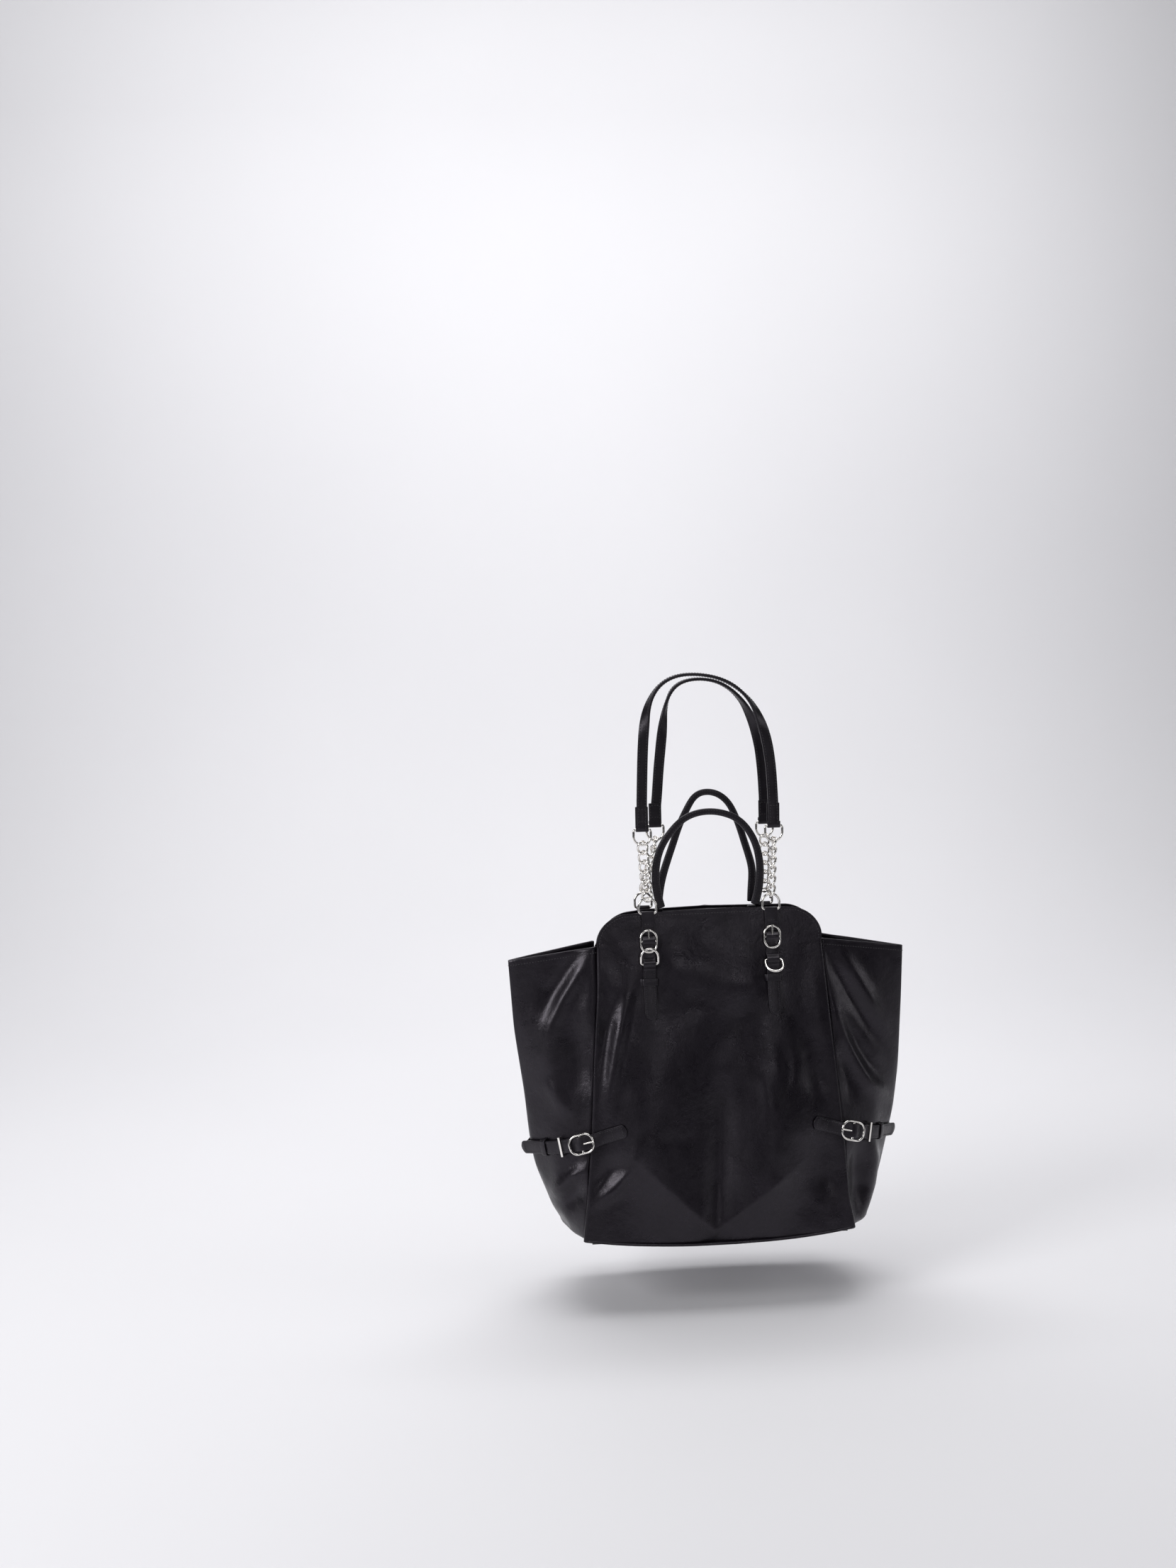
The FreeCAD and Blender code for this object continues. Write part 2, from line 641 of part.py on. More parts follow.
RING_BAR = on_panel(0, -size("sizes.tab_bar_out"), size("sizes.tab_bar_up"))
RING_TOP = RING_BAR.z + size("sizes.ring_tall")
HOOK_SLACK = 1.3
LINK_REACH = size("sizes.link_half + sizes.link_straight / 2")
FIRST_LINK = LINK_REACH - 2 * size("sizes.wire_radius") - HOOK_SLACK
STRAP_BAR = RING_TOP + CHAIN_RISE + size("sizes.ring_tall")

# Where each end of a strap hangs, seen from its own side: the back strap sits aslant.
STRAP_ENDS = {("front", "left"): -77.5, ("front", "right"): 77.5,
              ("back", "left"): -75.0, ("back", "right"): 57.0}
# How square the two shoulders of each strap's arch are: 2 would be an ellipse.
STRAP_FULLNESS = {"front": (3.4, 3.0), "back": (3.0, 3.2)}
STRAP_TOPS = {"front": STRAP_APEX, "back": STRAP_APEX - 6}
STRAP_SKEWS = {"front": -12.0, "back": 4.0}


def top_ring(side, hand):
    place = Placement(Vector(HANDS[hand] * size("sizes.tab_spacing"), RING_BAR.y, RING_BAR.z),
                      Rotation())
    name = f"{side}_{hand}_top_ring"
    node(d_ring(name + "_body"), name, SIDES[side] * place)


def strap_ring(side, hand):
    place = Placement(Vector(STRAP_ENDS[side, hand], RING_BAR.y, STRAP_BAR),
                      Rotation(ACROSS, 180))
    name = f"{side}_{hand}_strap_ring"
    node(d_ring(name + "_body"), name, SIDES[side] * place)


def chain(side, hand):
    """Oval links, each a quarter turn from the last, between the two rings."""
    name = f"{side}_{hand}_chain"
    link = wire_body(name + "_link", draw_round_path,
                     ("2 * sizes.link_half", "2 * sizes.link_half + sizes.link_straight",
                      "sizes.link_half - 0.1"),
                     "sizes.wire_radius",
                     ("-0.1", "-sizes.link_half - sizes.link_straight / 2"))
    ring_x = HANDS[hand] * size("sizes.tab_spacing")
    run = STRAP_ENDS[side, hand] - ring_x
    pitch = (math.hypot(run, CHAIN_RISE) - 2 * FIRST_LINK) / (CHAIN_LINKS - 1)
    links = []
    for count in range(CHAIN_LINKS):
        copy = doc.addObject("App::Link", f"{name}_link_{count}")
        copy.LinkedObject = link
        copy.Placement = Placement(Vector(0, 0, FIRST_LINK + count * pitch),
                                   Rotation(UP, 45 if count % 2 == 0 else -45))
        links.append(copy)
    place = Placement(Vector(ring_x, RING_BAR.y, RING_TOP),
                      Rotation(AWAY, math.degrees(math.atan2(run, CHAIN_RISE))))
    node(group(name + "_group", links), name, SIDES[side] * place)


def arch(turn, left, right, rise, fullness):
    """A point of an arch between two feet; turn goes from 0 on the left to pi."""
    middle, half = (left + right) / 2, (right - left) / 2
    side = fullness[0] if turn < math.pi / 2 else fullness[1]
    across = -math.copysign(abs(math.cos(turn)) ** (2 / side), math.cos(turn))
    return middle + half * across, rise * max(0.0, math.sin(turn)) ** (2 / side)


def strap_stations(side):
    """The strap's middle line: legs face the front, and it twists to lie flat on top."""
    rise = STRAP_TOPS[side] - size("sizes.strap_leather") / 2 - STRAP_BAR
    steps = 20
    places, twists = [], []
    for count in range(steps + 1):
        across, up = arch(math.pi * count / steps, STRAP_ENDS[side, "left"],
                          STRAP_ENDS[side, "right"], rise, STRAP_FULLNESS[side])
        share = up / rise
        places.append(Vector(across + STRAP_SKEWS[side] * share ** 4, RING_BAR.y, STRAP_BAR + up))
        turned = min(1.0, max(0.0, (share - 0.5) / 0.45))
        twists.append(math.radians(90 * turned * turned * (3 - 2 * turned)))
    stations = []
    for count, twist in enumerate(twists):
        if count in (0, steps):
            along = UP if count == 0 else UP * -1
        else:
            along = (places[count + 1] - places[count - 1]).normalize()
        normal = AWAY * -math.cos(twist) + along.cross(AWAY) * math.sin(twist)
        stations.append((places[count], along, normal))
    return stations


def shoulder_strap(side):
    """The leather arch with a loop and a doubled tail at each end."""
    name = side + "_strap"
    loop = strip(name + "_arch", strap_stations(side), "sizes.strap_width", "sizes.strap_leather")
    pieces, bores = [loop], []
    for hand in HANDS:
        end = (str(STRAP_ENDS[side, hand]), str(RING_BAR.y), str(STRAP_BAR))
        low = (f"{end[0]} - sizes.strap_width / 2", f"{end[1]}", f"{end[2]} + 2")
        high = (f"{end[0]} + sizes.strap_width / 2", f"{end[1]} + sizes.strap_leather / 2 + 1.4",
                f"{end[2]} + sizes.strap_tail")
        pieces.append(rod(f"{name}_{hand}_loop", "sizes.eye_radius + 1.7", "sizes.strap_width",
                          end, ACROSS))
        pieces.append(box(f"{name}_{hand}_tail", low, high))
        bores.append(rod(f"{name}_{hand}_bore", "sizes.eye_radius", "sizes.strap_width + 6",
                         end, ACROSS))
    solid = fuse(name + "_solid", pieces)
    node(cut(name + "_cut", solid, fuse(name + "_bores", bores)), name, SIDES[side])


# ---------------------------------------------------------------- short handles

HANDLE_PIVOT = on_panel(0, size("sizes.leather + sizes.facing_thick + sizes.handle_foot_leather / 2")
                        + 0.3, size("sizes.panel_slope_height + 3"))
HANDLE_LEANS = {"front": 4.0, "back": 0.0}
HANDLE_RISES = {"front": 111.0, "back": 132.0}
HANDLE_FULLNESS = {"front": 2.4, "back": 1.6}
FLARE = 4.0
FLARE_HEIGHT = 32.0


def handle(side):
    """A stitched leather arch that bends at the mouth's edge."""
    name = side + "_handle"
    spacing = size("sizes.handle_spacing")
    fullness = (HANDLE_FULLNESS[side],) * 2
    steps = 18
    stations = []
    places = []
    for count in range(steps + 1):
        across, up = arch(math.pi * count / steps, -1.0, 1.0, HANDLE_RISES[side], fullness)
        share = min(1.0, up / FLARE_HEIGHT)
        reach = spacing + FLARE * share * share * (3 - 2 * share)
        places.append(Vector(across * reach, 0, up))
    for count, middle in enumerate(places):
        if count in (0, steps):
            along = UP if count == 0 else UP * -1
        else:
            along = (places[count + 1] - places[count - 1]).normalize()
        stations.append((middle, along, AWAY * -1))
    bow = strip(name + "_bow", stations, "sizes.handle_width", "sizes.handle_leather")
    ends = [rod(f"{name}_{hand}_end", "sizes.handle_leather / 2", "sizes.handle_width",
                (str(sign * spacing), "0", "0"), ACROSS) for hand, sign in HANDS.items()]
    place = Placement(HANDLE_PIVOT, Rotation(ACROSS, HANDLE_LEANS[side]))
    node(fuse(name + "_solid", [bow] + ends), name, SIDES[side] * place)


def handle_ends(side):
    """The two ends of a handle, sewn flat inside the mouth."""
    name = side + "_handle_ends"
    inner = "sizes.leather + sizes.facing_thick + 0.3"
    outer = f"{inner} + sizes.handle_foot_leather"
    half = "sizes.handle_width / 2"
    pieces = []
    for hand, sign in HANDS.items():
        middle = f"{sign} * sizes.handle_spacing"
        flat = box(f"{name}_{hand}_flat", (f"{middle} - {half}", inner, "sizes.handle_foot_low"),
                   (f"{middle} + {half}", outer, "sizes.panel_slope_height - 3.5"))
        tip = rod(f"{name}_{hand}_tip", half, "sizes.handle_foot_leather",
                  (middle, f"{inner} + sizes.handle_foot_leather / 2", "sizes.handle_foot_low"), AWAY)
        pieces.append(fuse(f"{name}_{hand}", [flat, tip]))
    node(group(name + "_pair", pieces), name, SIDES[side] * FRONT)


# ---------------------------------------------------------------- side belts

BELT_HEIGHT = 121.0
BELT_FALL = math.tan(math.radians(16.0))


def gusset_at(height):
    """The fold's distance from the middle and the depth left at the bend, at a height."""
    for low, high in zip(GUSSET_LEVELS, GUSSET_LEVELS[1:]):
        if height <= high[0]:
            share = (height - low[0]) / (high[0] - low[0])
            return [near + (far - near) * share for near, far in zip(low[1:], high[1:])]
    return GUSSET_LEVELS[-1][1:]


def seam_at(height):
    return size("sizes.panel_base_half") - size("sizes.side_taper") * height


def shell_depth(x, height):
    """How far in front of the middle the front surface lies on the right."""
    depth = size("sizes.base_depth") / 2 - size("sizes.panel_lean") * height
    across = seam_at(height)
    fold, left = gusset_at(height)
    share = (x - across) / (fold - across)
    if share <= 0:
        return depth
    if share <= BEND_SHARE:
        return depth * (1 - (1 - left) * share / BEND_SHARE)
    return depth * left * (1 - share) / (1 - BEND_SHARE)


BELT_SEAM = seam_at(BELT_HEIGHT)
BELT_FOLD = gusset_at(BELT_HEIGHT - 68 * BELT_FALL)[0]


def belt_frame(x, off):
    """Middle, direction and outward normal of the belt at a distance from the bag's middle."""
    height = BELT_HEIGHT - (x - BELT_SEAM) * BELT_FALL
    step = 1.0
    slope = (shell_depth(x - step, height) - shell_depth(x + step, height)) / (2 * step)
    lean = (shell_depth(x, height - step) - shell_depth(x, height + step)) / (2 * step)
    normal = Vector(slope, -1, lean).normalize()
    along = Vector(1, slope - lean * BELT_FALL, -BELT_FALL)
    along = (along - normal * along.dot(normal)).normalize()
    return Vector(x, -shell_depth(x, height), height) + normal * off, along, normal


def belt_stations(frames):
    """Stations whose direction follows the line through their neighbours."""
    stations = []
    for count, (middle, along, normal) in enumerate(frames):
        ahead = frames[min(count + 1, len(frames) - 1)][0]
        behind = frames[max(count - 1, 0)][0]
        way = (ahead - behind).normalize()
        stations.append((middle, way, (normal - way * normal.dot(way)).normalize()))
    return stations


def belt_place(x, off):
    """A frame on the belt: -Y is outward and Z runs along the belt towards the bag's middle."""
    middle, along, normal = belt_frame(x, off)
    return Placement(middle, Rotation(Vector(), normal * -1, along * -1, "ZYX"))


BUCKLE_PLACE = belt_place(BELT_SEAM, size("sizes.belt_buckle_out")) * Placement(
    Vector(0, 0, -size("sizes.belt_buckle_shift")), Rotation())


def mirrored(item, hand):
    """The right-hand piece itself, or its mirror image for the left."""
    if hand == "right":
        return item
    mirror = doc.addObject("Part::Mirroring", item.Name + "_mirror")
    mirror.Source = item
    mirror.Normal = ACROSS
    return mirror


def sewn_end(name, frame):
    """The half-round end of a belt, as a disc as thick as the strip."""
    middle, along, normal = frame
    disc = doc.addObject("Part::Cylinder", name)
    disc.setExpression("Radius", "sizes.belt_width / 2 - 0.05")
    disc.setExpression("Height", "sizes.belt_leather")
    half = size("sizes.belt_leather") / 2
    disc.Placement = Placement(middle - normal * half, Rotation(UP, normal))
    return disc


def placed_box(name, low, high, place):
    item = box(name, low, high)
    shift = Placement(Vector(*[size(start) for start in low]), Rotation())
    for axis in "xyz":
        item.setExpression("Placement.Base." + axis, None)
    item.Placement = place * shift
    return item


def belt(hand):
    """Front strip: from its round sewn end, over the buckle's bar, to its tail."""
    name = hand + "_belt"
    marks = [(114, 1.0), (126, 1.1), (136, 1.7), (144, 2.9), (150.5, 2.35), (153.8, 8.95),
             (158.4, 10.15), (164.2, 5.5), (170.6, 6.5), (175, 5.0), (180, 3.8), (186, 3.7),
             (189, 3.7), (192, 3.7), (203, 3.9), (214, 4.4)]
    frames = [belt_frame(x, off) for x, off in marks]
    strip_body = strip(name + "_strip", belt_stations(frames), "sizes.belt_width",
                       "sizes.belt_leather", ruled=True)
    slot = placed_box(name + "_slot", ("-sizes.prong_slot / 2", "-12", "-3"),
                      ("sizes.prong_slot / 2", "6", "8.4"), BUCKLE_PLACE)
    solid = fuse(name + "_solid", [strip_body, sewn_end(name + "_end", frames[0])])
    node(mirrored(cut(name + "_cut", solid, slot), hand), name)


def belt_chape(hand):
    """Back strip: round the buckle's bar, over the fold and onto the back panel."""
    name = hand + "_belt_chape"
    marks = [(160.6, 1.9), (170, 1.4), (180, 1.4), (186, 1.5), (189, 1.5), (192, 1.5), (201, 1.7),
             (212, 2.1)]
    front = [belt_frame(x, off) for x, off in marks]
    low = BELT_HEIGHT - (BELT_FOLD - BELT_SEAM) * BELT_FALL
    fold = (Vector(BELT_FOLD + 3.2, 0, low), AWAY, ACROSS)
    back_marks = [(212, 2.1), (200, 1.7), (192, 1.5), (189, 1.5), (186, 1.5), (172, 1.4),
                  (160, 1.4), (154, 2.0), (149, 2.4), (143, 1.6), (116, 1.0)]
    back = []
    for x, off in back_marks:
        middle, along, normal = belt_frame(x, off)
        back.append((Vector(middle.x, -middle.y, middle.z), along, Vector(normal.x, -normal.y,
                                                                         normal.z)))
    frames = front + [fold] + back
    strip_body = strip(name + "_strip", belt_stations(frames), "sizes.belt_width - 1",
                       "sizes.belt_leather", ruled=True)
    reach = "(sizes.bar_eye + sizes.chape_leather)"
    half = "(sizes.belt_width / 2 - 0.5)"
    loop = doc.addObject("Part::Cylinder", name + "_loop")
    loop.setExpression("Radius", reach)
    loop.setExpression("Height", f"2 * {half}")
    loop.Placement = BUCKLE_PLACE * Placement(Vector(-size(half), 0, 0),
                                              Rotation(UP, ACROSS))
    riser = placed_box(name + "_riser", (f"-{half}", "0", "-4.0"),
                       (half, "sizes.belt_buckle_out + 1.6", "-0.3"), BUCKLE_PLACE)
    bore = doc.addObject("Part::Cylinder", name + "_bore")
    bore.setExpression("Radius", "sizes.bar_eye")
    bore.Height = 30
    bore.Placement = BUCKLE_PLACE * Placement(Vector(-15, 0, 0), Rotation(UP, ACROSS))
    slot = placed_box(name + "_slot", ("-sizes.prong_slot / 2", "-9", "-2.6"),
                      ("sizes.prong_slot / 2", "2.6", "4"), BUCKLE_PLACE)
    tip = frames[-1]
    solid = fuse(name + "_solid", [strip_body, loop, riser, sewn_end(name + "_end", tip)])
    node(mirrored(cut(name + "_cut", solid, fuse(name + "_hollow", [bore, slot])), hand), name)


def belt_buckle(hand):
    name = hand + "_belt_buckle"
    frame = wire_body(name + "_frame", draw_round_path,
                      ("sizes.belt_buckle_tall", "sizes.belt_buckle_long",
                       "sizes.belt_buckle_corner"), "sizes.buckle_wire",
                      ("sizes.belt_buckle_corner - sizes.belt_buckle_tall / 2",
                       "-sizes.belt_buckle_long / 2"))
    bar = rod(name + "_bar", "sizes.bar_radius", "sizes.belt_buckle_tall", ("0", "0", "0"), ACROSS)
    solid = fuse(name + "_solid", [frame, bar])
    solid.Placement = BUCKLE_PLACE
    node(mirrored(solid, hand), name)


def belt_prong(hand):
    piece = prong(hand + "_belt_prong_piece", 15.8)
    piece.Placement = BUCKLE_PLACE
    node(mirrored(piece, hand), hand + "_belt_prong")


def staple(name, x, wide, long, wall):
    """A band that bridges the belt's two layers."""
    place = belt_place(x, 0)
    bridge = placed_box(name + "_bridge", (f"-{wide} / 2", f"-5.2 - {wall}", f"-{long} / 2"),
                        (f"{wide} / 2", "-0.3", f"{long} / 2"), place)
    inner = f"({wide} / 2 - {wall})"
    way = placed_box(name + "_way", (f"-{inner}", "-5.2", f"-{long}"), (inner, "3", long), place)
    return cut(name + "_cut", bridge, way)


def belt_keepers():
    """The metal bridge beside each buckle and the leather band beyond it."""
    bands = []
    for hand in HANDS:
        metal = staple(hand + "_belt_bridge_piece", 180.0, "sizes.bridge_wide", "2.4", "1.8")
        node(mirrored(metal, hand), hand + "_belt_bridge")
        bands.append(mirrored(staple(hand + "_belt_band", 198.0, "sizes.band_wide", "8", "1.3"),
                              hand))
    node(group("belt_bands", bands), "belt_keepers")


for side in SIDES:
    panel(side)
for hand in HANDS:
    gusset(hand)
plate("base_panel", "2 * sizes.base_half", "2 * sizes.base_half_depth", "sizes.leather", "0")
plate("base_board", "sizes.board_length", "sizes.board_width", "sizes.board_thick",
      "sizes.leather + 0.1")
for side in SIDES:
    facing(side)
lining()
snap("front", "snap_socket")
snap("back", "snap_stud")
for side in SIDES:
    for hand in HANDS:
        tab(side, hand)
        tab_buckle(side, hand)
        tab_prong(side, hand)
        low_ring(side, hand)
        top_ring(side, hand)
        strap_ring(side, hand)
        chain(side, hand)
    tab_pair(side, "chape", lambda name: chape(name, "sizes.tab_width"))
    tab_pair(side, "keeper", keeper)
    shoulder_strap(side)
    handle(side)
    handle_ends(side)
for hand in HANDS:
    belt(hand)
    belt_chape(hand)
    belt_buckle(hand)
    belt_prong(hand)
belt_keepers()

doc.recompute()
failed = [item.Label for item in doc.Objects
          if "Invalid" in item.State or "Error" in item.State]
for item in nodes:
    if item.Shape.isNull() or not item.Shape.isValid():
        failed.append(item.Label)
if failed:
    raise SystemExit("failed: " + ", ".join(failed))
for item in nodes:
    item.Shape.exportStep(f"parts/{item.Label}.step")
    print(item.Label, len(item.Shape.Solids), round(item.Shape.Volume))
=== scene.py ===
import json
import math

import bpy
import numpy as np
from mathutils import Matrix, Vector


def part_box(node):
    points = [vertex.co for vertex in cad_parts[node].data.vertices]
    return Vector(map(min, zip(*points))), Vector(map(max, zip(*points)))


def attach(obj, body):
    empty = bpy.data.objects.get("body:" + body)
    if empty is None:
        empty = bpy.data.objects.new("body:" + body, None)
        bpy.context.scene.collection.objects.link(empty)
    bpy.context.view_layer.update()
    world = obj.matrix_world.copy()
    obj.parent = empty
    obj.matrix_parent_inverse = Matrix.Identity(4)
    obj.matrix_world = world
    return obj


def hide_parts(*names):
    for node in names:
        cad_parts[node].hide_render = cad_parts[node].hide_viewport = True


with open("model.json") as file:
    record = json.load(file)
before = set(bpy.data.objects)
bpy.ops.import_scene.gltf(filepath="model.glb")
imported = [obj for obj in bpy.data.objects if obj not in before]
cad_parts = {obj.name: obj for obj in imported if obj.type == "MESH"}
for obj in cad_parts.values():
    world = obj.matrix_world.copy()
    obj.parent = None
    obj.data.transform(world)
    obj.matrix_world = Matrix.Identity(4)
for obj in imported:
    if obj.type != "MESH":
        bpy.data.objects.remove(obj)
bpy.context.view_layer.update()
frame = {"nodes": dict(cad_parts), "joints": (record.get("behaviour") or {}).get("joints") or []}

# The winged leather bag's looks. Shapes are worked out in millimetres in the bag's frame
# (X right, -Y the front, Z up) and written to meshes in metres.
MM = 0.001
ANCHORS = {joint["name"]: np.array(joint["pos_m"], float) / MM for joint in frame["joints"]}
BACK = np.array([-1.0, -1.0, 1.0])
SIDES = {"front": np.ones(3), "back": BACK}
HANDS = {"left": -1.0, "right": 1.0}


# ------------------------------------------------------------------ small tools

def unit(vectors):
    vectors = np.asarray(vectors, float)
    return vectors / np.maximum(np.linalg.norm(vectors, axis=-1, keepdims=True), 1e-9)


def ease(low, high, value):
    """0 below low, 1 above high and a smooth rise between them."""
    share = np.clip((np.asarray(value, float) - low) / (high - low), 0, 1)
    return share * share * (3 - 2 * share)


def soften(values, spread, axis=0):
    """Smooths rows of values along an axis and keeps both ends where they are."""
    values = np.moveaxis(np.asarray(values, float), axis, 0)
    reach = int(3 * spread) + 1
    kernel = np.exp(-0.5 * (np.arange(-reach, reach + 1) / spread) ** 2)
    kernel /= kernel.sum()
    before = 2 * values[:1] - values[1:reach + 1][::-1]
    after = 2 * values[-1:] - values[-reach - 1:-1][::-1]
    padded = np.concatenate([before, values, after])
    smooth = sum(weight * padded[shift:shift + len(values)]
                 for shift, weight in enumerate(kernel))
    return np.moveaxis(smooth, 0, axis)


def curve_through(heights, values):
    """A smooth function of height through a few values."""
    line = np.arange(-60.0, 460.0, 1.0)
    smooth = soften(np.interp(line, heights, values), 9.0)
    return lambda height: np.interp(height, line, smooth)


def run_along(points):
    """Distance along a line of points, at each point."""
    return np.r_[0, np.cumsum(np.linalg.norm(np.diff(points, axis=0), axis=1))]


def read_at(marks, run, values):
    """Rows of values read at marks along a run."""
    return np.stack([np.interp(marks, run, column) for column in values.T], axis=1)


def resample(points, count):
    points = np.asarray(points, float)
    run = run_along(points)
    return read_at(np.linspace(0, run[-1], count), run, points)


def smooth_line(points, count, blur):
    return soften(resample(points, count), blur)


def heading(path):
    return unit(np.gradient(path, axis=0))


def quarter_turn(line):
    """The way out of a flat line at each of its points: a quarter turn from its direction."""
    way = heading(line)
    return np.stack([-way[:, 1], way[:, 0]], 1)


def faced_out(normals, sample, way):
    """Turns all the normals round where the sample one points against a way."""
    return -normals if np.dot(normals[sample], way) < 0 else normals


def to_line(x, z, line):
    """Each place's distance to a line of points, and how far along the line it is (0 to 1)."""
    best, along = np.full(np.shape(x), 1e9), np.zeros(np.shape(x))
    run = run_along(np.array(line, float))
    for index, ((ax, az), (bx, bz)) in enumerate(zip(line, line[1:])):
        dx, dz = bx - ax, bz - az
        share = np.clip(((x - ax) * dx + (z - az) * dz) / (dx * dx + dz * dz), 0, 1)
        away = np.hypot(x - ax - share * dx, z - az - share * dz)
        place = (run[index] + share * (run[index + 1] - run[index])) / run[-1]
        along = np.where(away < best, place, along)
        best = np.minimum(best, away)
    return best, along


def creases(x, z, features, fade=0.0):
    """Sum of soft ridges (positive) and valleys (negative), each dying away at its line's ends."""
    total = np.zeros(np.shape(x))
    for height, width, line in features:
        away, along = to_line(x, z, line)
        ends = ease(0, fade, along) * ease(0, fade, 1 - along) if fade else 1.0
        total += height * ends * np.exp(-(away / width) ** 2)
    return total


def ripple(x, z, seed, size, lengths=(95.0, 62.0, 41.0, 27.0)):
    """Gentle unevenness of soft leather."""
    dice = np.random.RandomState(seed)
    total = np.zeros(np.shape(x))
    for length in lengths:
        for _ in range(3):
            angle, phase = dice.uniform(0, math.pi), dice.uniform(0, 2 * math.pi)
            along = x * math.cos(angle) + z * math.sin(angle) * 0.7
            total += length / lengths[0] * np.sin(2 * math.pi * along / length + phase)
    return size * total / 3


class Piece:
    """Gathers the parts of one visible mesh; kind picks the part's material."""

    def __init__(self):
        self.points, self.faces, self.kinds, self.count = [], [], [], 0

    def add(self, points, faces, kind=0):
        points = np.asarray(points, float).reshape(-1, 3)
        self.points.append(points)
        self.faces += [[corner + self.count for corner in face] for face in faces]
        self.kinds += [kind] * len(faces)
        self.count += len(points)
        return self

    def sew(self, path, normals, *stitch):
        """Adds a row of stitches in the piece's second material."""
        return self.add(*stitches(path, normals, *stitch), kind=1)

    def make(self, name, body, slot, materials, nodes, turn=(1, 1, 1)):
        """Writes the mesh; a turn that mirrors the points also turns the faces round."""
        points = np.concatenate(self.points) * turn
        faces = self.faces if np.prod(turn) > 0 else [face[::-1] for face in self.faces]
        mesh = bpy.data.meshes.new(name)
        mesh.from_pydata((points * MM).tolist(), [], faces)
        for material in materials:
            mesh.materials.append(material)
        mesh.polygons.foreach_set("material_index", self.kinds)
        mesh.polygons.foreach_set("use_smooth", [True] * len(self.faces))
        mesh.update()
        item = bpy.data.objects.new(name, mesh)
        bpy.context.scene.collection.objects.link(item)
        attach(item, body)
        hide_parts(*nodes)


def grid_normals(grid, wrap=False):
    if wrap:
        across = np.roll(grid, -1, 1) - np.roll(grid, 1, 1)
    else:
        across = np.gradient(grid, axis=1)
    return unit(np.cross(across, np.gradient(grid, axis=0)))


def leather_sheet(outer, inner, wrap=False, round_off=0.35):
    """Closed sheet between two grids of points, with a rounded edge all round."""
    rows, cols = outer.shape[:2]
    points = [outer.reshape(-1, 3), inner.reshape(-1, 3)]
    faces = []
    inside = rows * cols
    span = cols if wrap else cols - 1
    for row in range(rows - 1):
        for col in range(span):
            near, far = row * cols + col, row * cols + (col + 1) % cols
            faces.append([near, far, far + cols, near + cols])
            faces.append([inside + near + cols, inside + far + cols, inside + far, inside + near])
    if wrap:
        rims = [[(0, col, 1, col) for col in range(cols)][::-1],
                [(rows - 1, col, rows - 2, col) for col in range(cols)]]
    else:
        rim = [(0, col, 1, col) for col in range(cols)][::-1]
        rim += [(row, 0, row, 1) for row in range(1, rows)]
        rim += [(rows - 1, col, rows - 2, col) for col in range(1, cols)]
        rim += [(row, cols - 1, row, cols - 2) for row in range(rows - 2, 0, -1)]
        rims = [rim]
    start = 2 * inside
    for rim in rims:
        edge = np.array([outer[row, col] for row, col, _, _ in rim])
        back = np.array([inner[row, col] for row, col, _, _ in rim])
        within = np.array([outer[row, col] for _, _, row, col in rim])
        thick = np.linalg.norm(edge - back, axis=1, keepdims=True)
        middle = (edge + back) / 2 + unit(edge - within) * thick * round_off
        points.append(middle)
        total = len(rim)
        for step in range(total):
            after = (step + 1) % total
            first = rim[step][0] * cols + rim[step][1]
            second = rim[after][0] * cols + rim[after][1]
            faces.append([first, second, start + after, start + step])
            faces.append([start + step, start + after, inside + second, inside + first])
        start += total
    return np.concatenate(points), faces


def tube_faces(rings, size, start=0, closed=False):
    """Faces of a tube made of rings of points, with flat ends unless it closes on itself."""
    bands = rings if closed else rings - 1
    spans = [(row * size, (row + 1) % rings * size) for row in range(bands)]
    faces = [[start + low + k, start + low + (k + 1) % size,
              start + high + (k + 1) % size, start + high + k]
             for low, high in spans for k in range(size)]
    if not closed:
        faces.append([start + k for k in range(size)][::-1])
        faces.append([start + (rings - 1) * size + k for k in range(size)])
    return faces


def round_section(wide, thick, corner, steps=3):
    """Outline of a strip's section: a rectangle with round corners."""
    corner = min(corner, wide / 2 - 0.01, thick / 2 - 0.01)
    outline = []
    for quarter, (x, y) in enumerate([(1, 1), (-1, 1), (-1, -1), (1, -1)]):
        for step in range(steps + 1):
            angle = math.pi / 2 * (quarter + step / steps)
            outline.append((x * (wide / 2 - corner) + corner * math.cos(angle),
                            y * (thick / 2 - corner) + corner * math.sin(angle)))
    return np.array(outline)


def directions(path, normals):
    ways = heading(path)
    normals = unit(normals - ways * np.sum(normals * ways, axis=1, keepdims=True))
    return ways, normals, np.cross(ways, normals)


